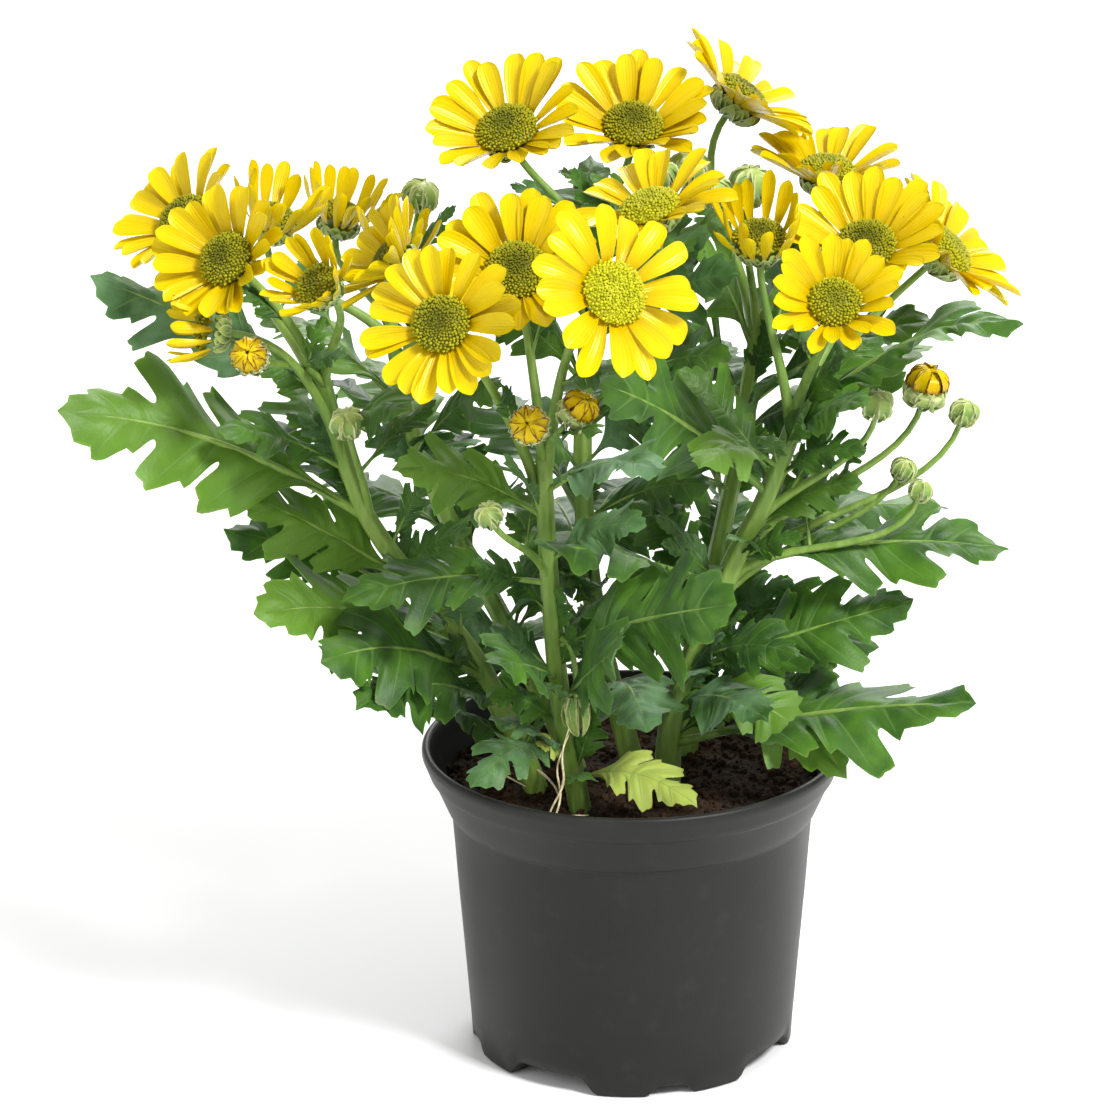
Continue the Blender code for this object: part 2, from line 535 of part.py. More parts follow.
def leaf(stem, height, tip, arch, face, width, pattern, wave):
    base, tip = stem_point(stem, height), Vector(tip)
    length = (tip - base).length
    middle = (base + tip) / 2 + Vector((0, 0, 2 * arch * length))
    hint = Vector((0, -face, 1))
    flat, faces, edge_count = pattern
    upper, lower = [], []
    for u, v in flat:
        spot = (1 - u) ** 2 * base + 2 * u * (1 - u) * middle + u * u * tip
        ahead = ((1 - u) * (middle - base) + u * (tip - middle)).normalized()
        normal = (hint - ahead * hint.dot(ahead)).normalized()
        side = ahead.cross(normal)
        reach = v * length * (width if u > 0.2 else 1.0)
        ripple = LEAF_WAVE * length * math.sin(11 * u + wave) * min(abs(v) / 0.2, 1.0)
        spot = spot + side * reach + normal * (ripple - LEAF_FOLD * abs(reach))
        upper.append((spot, normal))
    points = [spot for spot, _ in upper[:edge_count]]
    points += [spot + normal * LEAF_ABOVE for spot, normal in upper[edge_count:]]
    points += [spot - normal * LEAF_BELOW for spot, normal in upper[edge_count:]]
    inner = len(flat) - edge_count
    below = [tuple(k if k < edge_count else k + inner for k in reversed(f)) for f in faces]
    return points, [tuple(f) for f in faces] + below


def build_leafy_stem(name, pattern, material):
    points, foot, top = STEMS[name]
    path = smooth_path(points, 2)
    radii = [foot + (top - foot) * k / (len(path) - 1) for k in range(len(path))]
    pieces = [tube(path, radii, STEM_SIDES)]
    for row in BLOOMS.values():
        if row[0] == name:
            pieces += bloom_greens(row)
    for row in BUDS.values():
        if row[0] == name:
            pieces += bud_greens(row)
    for index, row in enumerate(LEAVES):
        if row[0] == name:
            pieces.append(leaf(*row, pattern, index * 1.7))
    return join_pieces("leafy_stem_" + name, pieces, material)


def main():
    clear_scene()
    materials = {name: make_material(name) for name in COLOURS}
    build_pot(materials["pot"])
    build_soil(materials["soil"])
    for name, bloom in BLOOMS.items():
        build_rays(name, bloom, materials["yellow"])
        build_disc(name, bloom, materials["disc"])
    for name, bud in BUDS.items():
        if bud[-1]:
            build_bud_rays(name, bud, materials["yellow"])
    pattern = leaf_pattern()
    for name in STEMS:
        build_leafy_stem(name, pattern, materials["green"])


main()
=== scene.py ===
# Pot chrysanthemum with yellow daisy-shaped blooms in a round nursery pot.
import itertools
import math
import random

import bpy
import numpy as np
from mathutils import Matrix, Vector, noise


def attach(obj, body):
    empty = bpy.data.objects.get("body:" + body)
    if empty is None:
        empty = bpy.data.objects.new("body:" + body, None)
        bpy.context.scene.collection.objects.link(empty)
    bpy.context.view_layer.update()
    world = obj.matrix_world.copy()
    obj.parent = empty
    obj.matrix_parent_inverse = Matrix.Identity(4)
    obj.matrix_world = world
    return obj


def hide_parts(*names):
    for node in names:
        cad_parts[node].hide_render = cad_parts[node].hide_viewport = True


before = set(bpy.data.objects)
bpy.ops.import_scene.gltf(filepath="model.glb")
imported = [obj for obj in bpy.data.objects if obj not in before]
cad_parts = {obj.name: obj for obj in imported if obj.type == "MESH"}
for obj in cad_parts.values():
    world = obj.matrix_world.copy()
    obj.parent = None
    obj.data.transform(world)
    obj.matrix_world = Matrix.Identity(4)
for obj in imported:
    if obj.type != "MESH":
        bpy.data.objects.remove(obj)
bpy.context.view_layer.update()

goldenAngle = math.pi * (3 - math.sqrt(5))
up = Vector((0, 0, 1))

# The plan of the plant. Places and sizes in these tables are in millimetres, x to the right, y away from the
# camera and z up from the ground, and angles are in degrees.

# Leafy stems: points of the middle line from the foot up, radius at foot and top.
stems = {
    "left": (((-24, -8, 60), (-28, -8, 80), (-37, -10, 103), (-46, -10, 121), (-69, -14, 154),
              (-78, -16, 174), (-85, -16, 203)), 3.6, 2),
    "inner": (((-14, 10, 60), (-17, 10, 80), (-36, 16, 119), (-54, 22, 153), (-63, 22, 178),
              (-68, 22, 206)), 3.2, 1.9),
    "front": (((-13, -24, 60), (-15, -24, 80), (-20, -28, 112), (-23, -37, 157), (-24, -44, 190)), 3.3, 2.1),
    "middle": (((2, 8, 60), (0, 9, 80), (-10, 14, 120), (-14, 18, 160), (-13, 22, 200),
              (-10, 26, 228)), 3.4, 2),
    "right": (((12, -8, 60), (10, -8, 80), (13, -8, 106), (28, -10, 146), (37, -12, 166),
              (46, -14, 192)), 3.8, 2.4),
    "back": (((16, 20, 60), (16, 22, 80), (22, 34, 120), (30, 42, 160), (36, 46, 200)), 3.3, 2)}

# Blooms: stem, height of the fork, middle of the disc's foot, way it leans (0 front, 90 right), lean from
# upright, reach of the rays, cup (how far the rays rise) and rays in the frame's solid.
blooms = {
    "bloom_01": ("left", 196, (-109.2, -30, 240.4), -34, 54, 22.5, 34, 14),
    "bloom_02": ("left", 188, (-125.2, 16, 239.7), -56, 44, 22, 32, 13),
    "bloom_03": ("left", 200, (-83.7, -47, 237.9), -38, 50, 18, 58, 11),
    "bloom_04": ("inner", 200, (-99.6, 16, 239.7), 60, 20, 20.5, 64, 9),
    "bloom_05": ("inner", 205, (-83.1, 50, 232), 60, 16, 19.5, 66, 10),
    "bloom_06": ("inner", 205, (-66.5, 24, 229.2), 40, 12, 19, 68, 9),
    "bloom_07": ("inner", 190, (-66.3, -12, 235.5), -82, 56, 20.5, 44, 13),
    "bloom_08": ("front", 170, (-50, -68, 233.2), -16, 60, 22, 20, 13),
    "bloom_09": ("front", 186, (-30.8, -38, 239.6), -4, 46, 24.5, 27, 14),
    "bloom_10": ("front", 180, (-4.6, -82, 245.5), 30, 60, 24.5, 16, 14),
    "bloom_11": ("middle", 200, (4.8, -28, 254.1), -50, 20, 24, 24, 14),
    "bloom_12": ("middle", 226, (-34.7, 22, 263.7), -24, 34, 25, 36, 13),
    "bloom_13": ("middle", 226, (0.3, 40, 260.5), 4, 30, 25, 36, 14),
    "bloom_14": ("back", 195, (31.1, 60, 264.1), 92, 37, 25.5, 25, 12),
    "bloom_15": ("back", 195, (55.3, 52, 244.4), 0, 5, 24, 36, 12),
    "bloom_16": ("right", 186, (34.8, -16, 242.5), 0, 28, 21.5, 72, 10),
    "bloom_17": ("right", 190, (64.7, 6, 234.7), -6, 34, 25, 38, 13),
    "bloom_18": ("right", 186, (53.8, -52, 234.6), 2, 46, 20.5, 40, 13),
    "bloom_19": ("right", 176, (88.3, 26, 227.8), 80, 46, 25.5, 27, 13),
    "bloom_20": ("left", 178, (-115.1, -34, 221.5), -86, 84, 17.5, 74, 8)}

# Buds: stem, height of the fork, middle, way, lean, radius, and whether yellow rays stand out of it.
buds = {
    "bud_01": ("left", 200, (-102, -49, 219), -5, 62, 5.6, True),
    "bud_02": ("front", 186, (-27, -73, 207), -5, 66, 5.8, True),
    "bud_03": ("front", 188, (-14, -62, 208), 55, 40, 5.6, True),
    "bud_04": ("right", 144, (81, -14, 200), 45, 15, 6.6, True),
    "bud_05": ("right", 152, (67, -26, 198), 20, 20, 4.2, False),
    "bud_06": ("right", 136, (93, 6, 186), 60, 18, 3.8, False),
    "bud_07": ("right", 132, (76, 1, 171), 60, 30, 3.4, False),
    "bud_08": ("right", 140, (80, -12, 169), 80, 15, 3.2, False),
    "bud_09": ("middle", 222, (16, 30, 250), 20, 20, 5.2, False),
    "bud_10": ("middle", 222, (8, 6, 254), 0, 20, 4.6, False),
    "bud_11": ("middle", 222, (23, 8, 249), 10, 20, 4.6, False),
    "bud_12": ("back", 198, (33, 24, 247), 20, 20, 5.6, False),
    "bud_13": ("left", 160, (-77, -36, 196), -5, 35, 4.4, False),
    "bud_14": ("inner", 204, (-61, 66, 233), 30, 20, 5, False),
    "bud_15": ("front", 150, (-38, -64, 179), -20, 40, 3.6, False)}

# Leaves: stem, height of the joint, tip, arch, how far the blade faces the front, width.
leaves = (
    ("left", 162, (-155, -42, 201), 0.08, 0.8, 0.95), ("left", 196, (-149, -6, 229), 0.05, 0.6, 0.8),
    ("left", 140, (-110, -28, 175), 0.04, 0.8, 0.85), ("left", 124, (-103, -50, 146), 0.08, 1.1, 1.0),
    ("left", 134, (-114, -10, 157), 0.06, 0.7, 0.95), ("left", 112, (-84, -60, 136), 0.1, 1.1, 1.05),
    ("left", 104, (-75, -56, 121), 0.12, 1.0, 0.95), ("left", 90, (-60, -30, 111), 0.12, 0.3, 1.0),
    ("left", 176, (-112, -40, 196), 0.08, 0.6, 0.8), ("left", 186, (-60, -50, 204), 0.1, 0.8, 0.9),
    ("left", 152, (-110, 24, 180), 0.12, -0.3, 0.9), ("inner", 170, (-50, -18, 176), 0.12, 1.2, 1.0),
    ("inner", 182, (-108, 44, 206), 0.1, 0.0, 0.9), ("inner", 160, (-78, 80, 180), 0.12, -0.3, 1.0),
    ("inner", 138, (-94, 60, 146), 0.16, 0.0, 1.0), ("inner", 116, (-72, 70, 122), 0.16, 0.0, 1.0),
    ("inner", 100, (-74, 28, 114), 0.14, 0.2, 1.0), ("front", 150, (-79, -50, 150), 0.08, 0.6, 0.9),
    ("front", 130, (28, -70, 156), 0.03, 1.6, 1.15), ("front", 120, (-36, -72, 140), 0.04, 1.2, 1.0),
    ("front", 112, (-3, -74, 146), 0.02, 1.3, 0.95), ("front", 170, (-64, -58, 190), 0.1, 1.2, 0.9),
    ("front", 178, (8, -84, 198), 0.1, 0.6, 0.8), ("front", 96, (-44, -62, 100), 0.16, 0.4, 0.9),
    ("front", 88, (18, -50, 90), 0.14, 0.6, 0.9), ("middle", 190, (-46, 0, 222), 0.1, 0.8, 0.9),
    ("middle", 176, (20, -4, 196), 0.14, 0.9, 1.0), ("middle", 124, (22, -34, 142), 0.1, 0.9, 1.0),
    ("middle", 102, (4, -46, 110), 0.12, 0.9, 1.0), ("middle", 150, (-46, 74, 172), 0.12, -0.2, 1.0),
    ("middle", 128, (-28, 88, 132), 0.16, 0.0, 1.0), ("middle", 214, (-12, 70, 244), 0.1, -0.2, 0.9),
    ("middle", 104, (-36, 66, 100), 0.14, 0.0, 0.95), ("right", 146, (106, -5, 150), 0.06, 0.5, 0.8),
    ("right", 114, (79, -12, 137), 0.02, 0.9, 0.9), ("right", 92, (95, -38, 116), 0.04, 0.35, 0.85),
    ("right", 102, (60, -8, 108), 0.12, 0.9, 0.95), ("right", 168, (-10, -56, 214), 0.06, 1.2, 0.85),
    ("right", 140, (-26, -62, 171), 0.03, 0.2, 0.8), ("right", 110, (60, -34, 92), 0.14, 0.9, 0.95),
    ("right", 104, (37, -52, 116), 0.1, 0.9, 0.9), ("right", 190, (104, -50, 229), 0.11, 0.3, 0.6),
    ("right", 176, (18, -56, 190), 0.12, 0.8, 0.85), ("right", 180, (63, -45, 204), 0.14, 0.8, 0.9),
    ("back", 100, (72, 34, 106), 0.14, 0.4, 1.0), ("back", 112, (62, 12, 124), 0.1, 0.9, 1.0),
    ("back", 130, (92, 42, 146), 0.12, 0.2, 1.0), ("back", 160, (88, 64, 188), 0.12, 0.0, 0.95),
    ("back", 186, (56, 94, 214), 0.12, -0.2, 0.9), ("back", 120, (46, 98, 126), 0.14, 0.0, 1.0),
    ("back", 146, (12, 102, 166), 0.14, -0.2, 1.0), ("back", 176, (86, 30, 206), 0.1, 0.5, 0.9))

# Smaller leaves that fill the middle of the plant, in the same terms.
fillLeaves = (
    ("middle", 150, (22, -4, 168), 0.1, 1.0, 1.0), ("middle", 164, (-28, -10, 184), 0.1, 1.0, 0.9),
    ("middle", 182, (28, 0, 204), 0.12, 0.9, 0.9), ("middle", 136, (-30, -6, 150), 0.12, 1.1, 1.0),
    ("middle", 112, (24, -10, 124), 0.12, 0.8, 1.0), ("back", 152, (8, 2, 160), 0.12, 1.0, 1.0),
    ("back", 138, (54, 8, 150), 0.1, 0.8, 1.0), ("back", 168, (58, 10, 184), 0.12, 0.8, 0.9),
    ("back", 116, (8, 2, 128), 0.14, 0.9, 1.0), ("inner", 128, (-14, -8, 140), 0.12, 1.0, 1.0),
    ("inner", 146, (-30, -2, 164), 0.1, 0.9, 1.0), ("inner", 170, (-36, 0, 196), 0.1, 1.0, 0.9),
    ("inner", 112, (-56, -10, 130), 0.12, 0.9, 1.0), ("left", 146, (-44, -34, 164), 0.1, 1.0, 0.9),
    ("left", 128, (-62, -44, 142), 0.1, 1.0, 0.9), ("left", 172, (-96, -6, 190), 0.12, 0.7, 0.9),
    ("right", 128, (2, -22, 150), 0.12, 1.0, 0.9), ("right", 156, (64, -14, 172), 0.12, 0.8, 0.9),
    ("right", 172, (64, -30, 186), 0.12, 0.9, 0.8), ("right", 116, (46, -34, 128), 0.12, 1.0, 0.9),
    ("front", 140, (-44, -44, 158), 0.12, 1.0, 0.9), ("front", 156, (4, -58, 174), 0.12, 1.0, 0.9),
    ("front", 104, (-40, -44, 120), 0.12, 1.0, 0.9), ("front", 94, (-26, -40, 104), 0.12, 1.0, 0.9),
    ("back", 172, (26, 78, 186), 0.12, -0.4, 1.0), ("back", 154, (56, 72, 166), 0.12, -0.2, 1.0),
    ("back", 192, (52, 70, 222), 0.08, -0.3, 0.9), ("back", 134, (30, 76, 140), 0.14, -0.3, 1.0),
    ("middle", 168, (-10, 58, 186), 0.12, -0.5, 1.0), ("middle", 196, (14, 56, 222), 0.1, -0.4, 0.9),
    ("middle", 146, (4, 58, 150), 0.14, -0.4, 1.0), ("middle", 208, (-44, 42, 232), 0.1, 0.0, 0.9),
    ("inner", 150, (-50, 60, 164), 0.12, -0.4, 1.0), ("inner", 186, (-52, 56, 210), 0.1, -0.4, 0.9),
    ("inner", 176, (-98, 40, 186), 0.12, -0.2, 0.9), ("left", 166, (-100, 16, 196), 0.1, -0.3, 0.9),
    ("right", 150, (56, 18, 166), 0.12, 0.0, 0.9), ("right", 184, (70, 10, 208), 0.1, 0.3, 0.9),
    ("back", 176, (12, 12, 212), 0.1, 0.9, 1.0), ("middle", 200, (30, 8, 226), 0.1, 1.1, 1.0),
    ("right", 172, (12, -6, 202), 0.1, 1.0, 1.0), ("back", 192, (18, 18, 232), 0.1, 0.9, 1.0),
    ("middle", 212, (22, 4, 238), 0.1, 1.0, 0.9), ("back", 164, (40, 8, 196), 0.1, 0.9, 1.0),
    ("middle", 138, (14, -4, 160), 0.1, 1.2, 1.0), ("right", 136, (0, 0, 162), 0.1, 1.2, 1.0),
    ("middle", 166, (12, 0, 190), 0.1, 1.2, 0.9), ("middle", 108, (-22, -10, 132), 0.1, 1.2, 1.0),
    ("inner", 120, (-10, -4, 148), 0.1, 1.2, 1.0), ("middle", 116, (6, -14, 142), 0.1, 1.2, 0.9))
yellowedLeaves = (24, len(leaves) + 23)


def metres(value):
    # a number or nested places of the tables, in metres
    return value / 1000 if isinstance(value, (int, float)) else tuple(metres(part) for part in value)


# Sums in node trees

def operation(kind, swapped=False):
    def run(self, *others):
        node = self.tree.nodes.new("ShaderNodeMath")
        node.operation = kind
        for value, socket in zip((*others, self) if swapped else (self, *others), node.inputs):
            join(value, socket)
        return Value(node.outputs[0])

    return run


class Value:
    # what a node gives; it adds, multiplies and so on as plain numbers do
    def __init__(self, socket):
        self.socket = socket
        self.tree = socket.id_data

    __add__ = __radd__ = operation("ADD")
    __mul__ = __rmul__ = operation("MULTIPLY")
    __sub__ = operation("SUBTRACT")
    __rsub__ = operation("SUBTRACT", True)
    __truediv__ = operation("DIVIDE")
    __rtruediv__ = operation("DIVIDE", True)
    __mod__ = operation("MODULO")
    __pow__ = operation("POWER")
    __abs__ = operation("ABSOLUTE")
    squareRoot = operation("SQRT")
    sine = operation("SINE")
    cosine = operation("COSINE")
    fraction = operation("FRACT")
    larger = operation("MAXIMUM")
    angleOver = operation("ARCTAN2")


def join(value, socket):
    if isinstance(value, Value):
        value.tree.links.new(value.socket, socket)
    else:
        socket.default_value = value


def addNode(tree, kind, inputs=None, give=0, **settings):
    # a new node, and what its output of that name or number gives
    node = tree.nodes.new(kind)
    for key, value in settings.items():
        setattr(node, key, value)
    for key, value in (inputs or {}).items():
        join(value, node.inputs[key])
    return Value(node.outputs[give])


def vectorOf(tree, x=0.0, y=0.0, z=0.0):
    return addNode(tree, "ShaderNodeCombineXYZ", {"X": x, "Y": y, "Z": z})


def axesOf(vector):
    node = vector.tree.nodes.new("ShaderNodeSeparateXYZ")
    join(vector, node.inputs[0])
    return [Value(socket) for socket in node.outputs]


def spread(value, low, high, to=(0.0, 1.0)):
    return addNode(value.tree, "ShaderNodeMapRange", {"Value": value, "From Min": low, "From Max": high,
                                                      "To Min": to[0], "To Max": to[1]})


# Geometry node trees

def newTree(name, sizes):
    # an empty tree with geometry in and out and a named input for each size, with a seed and a material last
    tree = bpy.data.node_groups.new(name, "GeometryNodeTree")
    kinds = {int: "Int", float: "Float"}
    for label, value in {"Geometry": "Geometry", **sizes, "Seed": 1, "Paint": "Material"}.items():
        kind = value if isinstance(value, str) else kinds[type(value)]
        socket = tree.interface.new_socket(label, in_out="INPUT", socket_type="NodeSocket" + kind)
        if kind != value:
            socket.default_value = value
    tree.interface.new_socket("Geometry", in_out="OUTPUT", socket_type="NodeSocketGeometry")
    given = tree.nodes.new("NodeGroupInput").outputs
    return tree, {socket.name: Value(socket) for socket in given if socket.name}


def closeTree(tree, given, geometry):
    # every tree ends in Realize Instances, smooth shading and Set Material
    real = addNode(tree, "GeometryNodeRealizeInstances", {"Geometry": geometry})
    smooth = addNode(tree, "GeometryNodeSetShadeSmooth", {"Geometry": real})
    painted = addNode(tree, "GeometryNodeSetMaterial", {"Geometry": smooth, "Material": given["Paint"]})
    join(painted, tree.nodes.new("NodeGroupOutput").inputs[0])
    return tree


def randomBetween(low, high, item, seed, offset):
    return addNode(item.tree, "FunctionNodeRandomValue",
                   {2: low, 3: high, "ID": item, "Seed": seed + offset}, give=1)


def pointLine(tree, count):
    # so many points in one spot, and the number of each
    line = addNode(tree, "GeometryNodeMeshLine", {"Count": count, "Offset": (0, 0, 0)})
    return line, addNode(tree, "GeometryNodeInputIndex")


def keepAll(geometry, values):
    # stores the values under their names on the points
    for name, value in values.items():
        geometry = addNode(geometry.tree, "GeometryNodeStoreNamedAttribute",
                           {"Geometry": geometry, "Name": name, "Value": value}, domain="POINT")
    return geometry


def kept(tree, name):
    return addNode(tree, "GeometryNodeInputNamedAttribute", {"Name": name}, data_type="FLOAT")


def moved(geometry, place):
    return addNode(geometry.tree, "GeometryNodeSetPosition", {"Geometry": geometry, "Position": place})


def rotated(vector, axis, angle):
    return addNode(vector.tree, "ShaderNodeVectorRotate", {"Vector": vector, "Angle": angle},
                   rotation_type=axis)


# how far rays stray: turn as a share of the step, tilt and roll in radians, the rest as shares
rayStray = {"turn": 0.30, "tilt": 0.16, "long": 0.08, "curl": 0.5, "roll": 0.25, "wide": 0.12, "tone": 1.0}


def setOnPoints(points, instance, **turned):
    return addNode(points.tree, "GeometryNodeInstanceOnPoints",
                   {"Points": points, "Instance": instance, **turned})


def rayRingTree():
    # a ring of petals or bracts: the base mesh is one flat blade, a unit long, that is bent and set round z
    tree, given = newTree("rayRing", {
        "Rays": 20, "Length": 0.016, "Width": 0.005, "Root Radius": 0.006, "Cup": 0.3, "Curl": 0.5,
        "Layer Step": -0.15, "Layer Length": 0.0, "Unevenness": 1.0, "Start": 0.0})
    line, item = pointLine(tree, given["Rays"])

    def stray(name):
        offset = list(rayStray).index(name) + 1
        most = rayStray[name]
        return randomBetween(-most, most, item, given["Seed"], offset) * given["Unevenness"]

    layer = item % 2.0
    ray = {"turn": (item + stray("turn")) * (2 * math.pi / given["Rays"]) + given["Start"],
           "tilt": given["Cup"] + (layer * given["Layer Step"] + stray("tilt")),
           "long": given["Length"] * (0.95 + stray("long") + layer * given["Layer Length"]),
           "curl": given["Curl"] * (1.0 + stray("curl")),
           "roll": stray("roll"),
           "wide": given["Width"] * (1.0 + stray("wide")),
           "tone": abs(stray("tone"))}
    ring = setOnPoints(keepAll(line, ray), given["Geometry"])
    real = addNode(tree, "GeometryNodeRealizeInstances", {"Geometry": ring})
    # each point of the flat blade is rolled, bent on an arc, tilted, pushed out and turned round z
    turn, tilt, long, curl, roll, wide = (kept(tree, name) for name in list(ray)[:6])
    along, y, z = axesOf(addNode(tree, "GeometryNodeInputPosition"))
    _, side, lift = axesOf(rotated(vectorOf(tree, 0.0, y * wide, z * wide), "X_AXIS", roll))
    arc, bow = curl * along, long / curl
    sine, cosine = arc.sine(), arc.cosine()
    bent = vectorOf(tree, bow * sine + lift * sine, side, lift * cosine - bow * (1.0 - cosine))
    ahead, side, rise = axesOf(rotated(bent, "Y_AXIS", tilt * -1.0))
    out = vectorOf(tree, ahead + given["Root Radius"], side, rise)
    return closeTree(tree, given, moved(real, rotated(out, "Z_AXIS", turn)))


def floretDomeTree():
    # florets in spiral rows over a low dome, square to it: the base mesh is one floret, a unit high
    tree, given = newTree("floretDome", {"Florets": 150, "Radius": 0.007, "Dome Height": 0.003,
                                         "Floret Size": 0.001, "Stray": 0.0003, "Fresh": 0.0})
    radius, high, seed = given["Radius"], given["Dome Height"], given["Seed"]
    line, item = pointLine(tree, given["Florets"])
    share = ((item + 0.5) / given["Florets"]).squareRoot()
    out, turn = share * radius, item * goldenAngle
    x, y, square = out * turn.cosine(), out * turn.sine(), share * share
    z = high * (1.0 - square * square)
    spot = vectorOf(tree, *(value + given["Stray"] * randomBetween(-1.0, 1.0, item, seed, 5 + k)
                            for k, value in enumerate((x, y, z))))
    line = keepAll(line, {"rim": share, "fresh": given["Fresh"],
                          "tone": randomBetween(0.0, 1.0, item, seed, 1)})
    slope = high * 4.0 * square / (radius * radius)
    stand = addNode(tree, "FunctionNodeAlignRotationToVector",
                    {"Vector": vectorOf(tree, x * slope, y * slope, 1.0)}, axis="Z")
    size = given["Floret Size"] * ((0.80 + share * 0.30) * randomBetween(0.80, 1.25, item, seed, 2))
    heads = setOnPoints(moved(line, spot), given["Geometry"], Rotation=stand, Scale=size)
    return closeTree(tree, given, heads)


def ribbedStemTree():
    # sweeps a ribbed round along polylines whose points carry their own thickness
    tree, given = newTree("ribbedStem", {"Sides": 15, "Ribs": 5.0, "Rib Depth": 0.1})
    line = addNode(tree, "GeometryNodeMeshToCurve", {"Mesh": given["Geometry"]})
    circle = addNode(tree, "GeometryNodeCurvePrimitiveCircle",
                     {"Resolution": given["Sides"], "Radius": 1.0})
    x, y, _ = axesOf(addNode(tree, "GeometryNodeInputPosition"))
    swell = 1.0 + (y.angleOver(x) * given["Ribs"]).cosine() * given["Rib Depth"]
    profile = moved(circle, vectorOf(tree, x * swell, y * swell))
    swept = addNode(tree, "GeometryNodeCurveToMesh", {"Curve": line, "Profile Curve": profile,
                                                      "Scale": kept(tree, "thick"), "Fill Caps": True})
    return closeTree(tree, given, swept)


def scatterTree():
    # strews a crumb over the faces of the base mesh, turned and sized at random
    tree, given = newTree("scatter", {"Crumb": "Object", "Density": 1e5, "Smallest": 0.0005,
                                      "Largest": 0.002})
    seed = given["Seed"]
    spots = addNode(tree, "GeometryNodeDistributePointsOnFaces",
                    {"Mesh": given["Geometry"], "Density": given["Density"], "Seed": seed})
    item = addNode(tree, "GeometryNodeInputIndex")
    spots = keepAll(spots, {"tone": randomBetween(0.0, 1.0, item, seed, 3) ** 3.0})
    size = spread(randomBetween(0.0, 1.0, item, seed, 1) ** 2.5, 0.0, 1.0,
                  (given["Smallest"], given["Largest"]))
    turns = vectorOf(tree, *(randomBetween(0.0, 6.28, item, seed, 5 + k) for k in range(3)))
    spin = addNode(tree, "FunctionNodeEulerToRotation", {"Euler": turns})
    scale = vectorOf(tree, size * randomBetween(1.0, 1.9, item, seed, 9), size, size)
    crumb = addNode(tree, "GeometryNodeObjectInfo", {"Object": given["Crumb"]}, give="Geometry")
    return closeTree(tree, given, setOnPoints(spots, crumb, Rotation=spin, Scale=scale))


print("node trees")
rayRing = rayRingTree()
floretDome = floretDomeTree()
ribbedStem = ribbedStemTree()
scatter = scatterTree()


# Objects and meshes

def newObject(name, mesh):
    thing = bpy.data.objects.new(name, mesh)
    bpy.context.scene.collection.objects.link(thing)
    return thing


def makePlain(thing):
    # the object's mesh with its modifiers worked in, and the modifiers gone
    graph = bpy.context.evaluated_depsgraph_get()
    plain = bpy.data.meshes.new_from_object(thing.evaluated_get(graph), depsgraph=graph)
    thing.modifiers.clear()
    thing.data = plain
    return thing


def grow(name, mesh, tree, sizes, place=None):
    # runs a tree on a mesh and returns the object with a plain mesh, moved to its place
    thing = newObject(name, mesh)
    modifier = thing.modifiers.new(tree.name, "NODES")
    modifier.node_group = tree
    for item in tree.interface.items_tree:
        if item.in_out == "INPUT" and item.name in sizes:
            modifier[item.identifier] = sizes[item.name]
    makePlain(thing).data.name = name
    if place is not None:
        thing.data.transform(place)
    return thing


def fuse(name, things):
    # several objects made one, with their materials and attributes
    whole = things[0]
    with bpy.context.temp_override(active_object=whole, object=whole, selected_objects=things,
                                   selected_editable_objects=things):
        bpy.ops.object.join()
    whole.name = whole.data.name = name
    return whole


def finishPiece(piece, slotName, *nodes):
    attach(piece, "root")
    if nodes:
        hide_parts(*nodes)


def meshFrom(name, points, faces, material=None, smooth=True):
    mesh = bpy.data.meshes.new(name)
    mesh.from_pydata([tuple(p) for p in points], [], faces)
    if material:
        mesh.materials.append(material)
    if smooth:
        mesh.polygons.foreach_set("use_smooth", [True] * len(mesh.polygons))
    return mesh


def addAttribute(mesh, name, values, kind="FLOAT", domain="POINT"):
    mesh.attributes.new(name, kind, domain).data.foreach_set("value", values)


def sharpenRim(mesh, below):
    # the edge where the upper and lower faces of a blade meet is kept sharp
    edges = np.empty(len(mesh.loops), int)
    mesh.loops.foreach_get("edge_index", edges)
    lower = np.repeat(np.array(below, bool), [len(face.vertices) for face in mesh.polygons])
    above, under = (np.bincount(edges[pick], minlength=len(mesh.edges)) > 0 for pick in (~lower, lower))
    addAttribute(mesh, "sharp_edge", above & under, "BOOLEAN", "EDGE")


def ringFaces(rows, columns, ends=True):
    faces = [(r * columns + c, r * columns + (c + 1) % columns, (r + 1) * columns + (c + 1) % columns,
              (r + 1) * columns + c) for r in range(rows - 1) for c in range(columns)]
    if ends:
        faces.append(tuple(range(columns - 1, -1, -1)))
        faces.append(tuple((rows - 1) * columns + c for c in range(columns)))
    return faces


def circlePoints(radius, height, count):
    turns = [2 * math.pi * k / count for k in range(count)]
    return [(radius * math.cos(turn), radius * math.sin(turn), height) for turn in turns]


def latheMesh(name, profile, sides, material):
    points = [point for radius, height in profile for point in circlePoints(radius, height, sides)]
    return meshFrom(name, points, ringFaces(len(profile), sides), material)


def turnedPiece(name, profile, size, sides, material, place):
    # a turned body of so many times the profile's size, in its place
    mesh = latheMesh(name, [(radius * size, height * size) for radius, height in profile], sides, material)
    mesh.transform(place)
    return newObject(name, mesh)


def curveThrough(before, here, after, beyond, t):
    # the point at a share of the way from here to after, on a smooth curve through all four
    return 0.5 * (2 * here + (after - before) * t + (2 * before - 5 * here + 4 * after - beyond) * t ** 2
                  + (3 * here - before - 3 * after + beyond) * t ** 3)


def smoothPath(points, steps):
    # a curve through the points, with so many steps from one to the next
    points = [Vector(p) for p in points]
    ends = [2 * points[0] - points[1]] + points + [2 * points[-1] - points[-2]]
    path = [curveThrough(*four, step / steps) for four in zip(ends, ends[1:], ends[2:], ends[3:])
            for step in range(steps)]
    return path + [points[-1]]


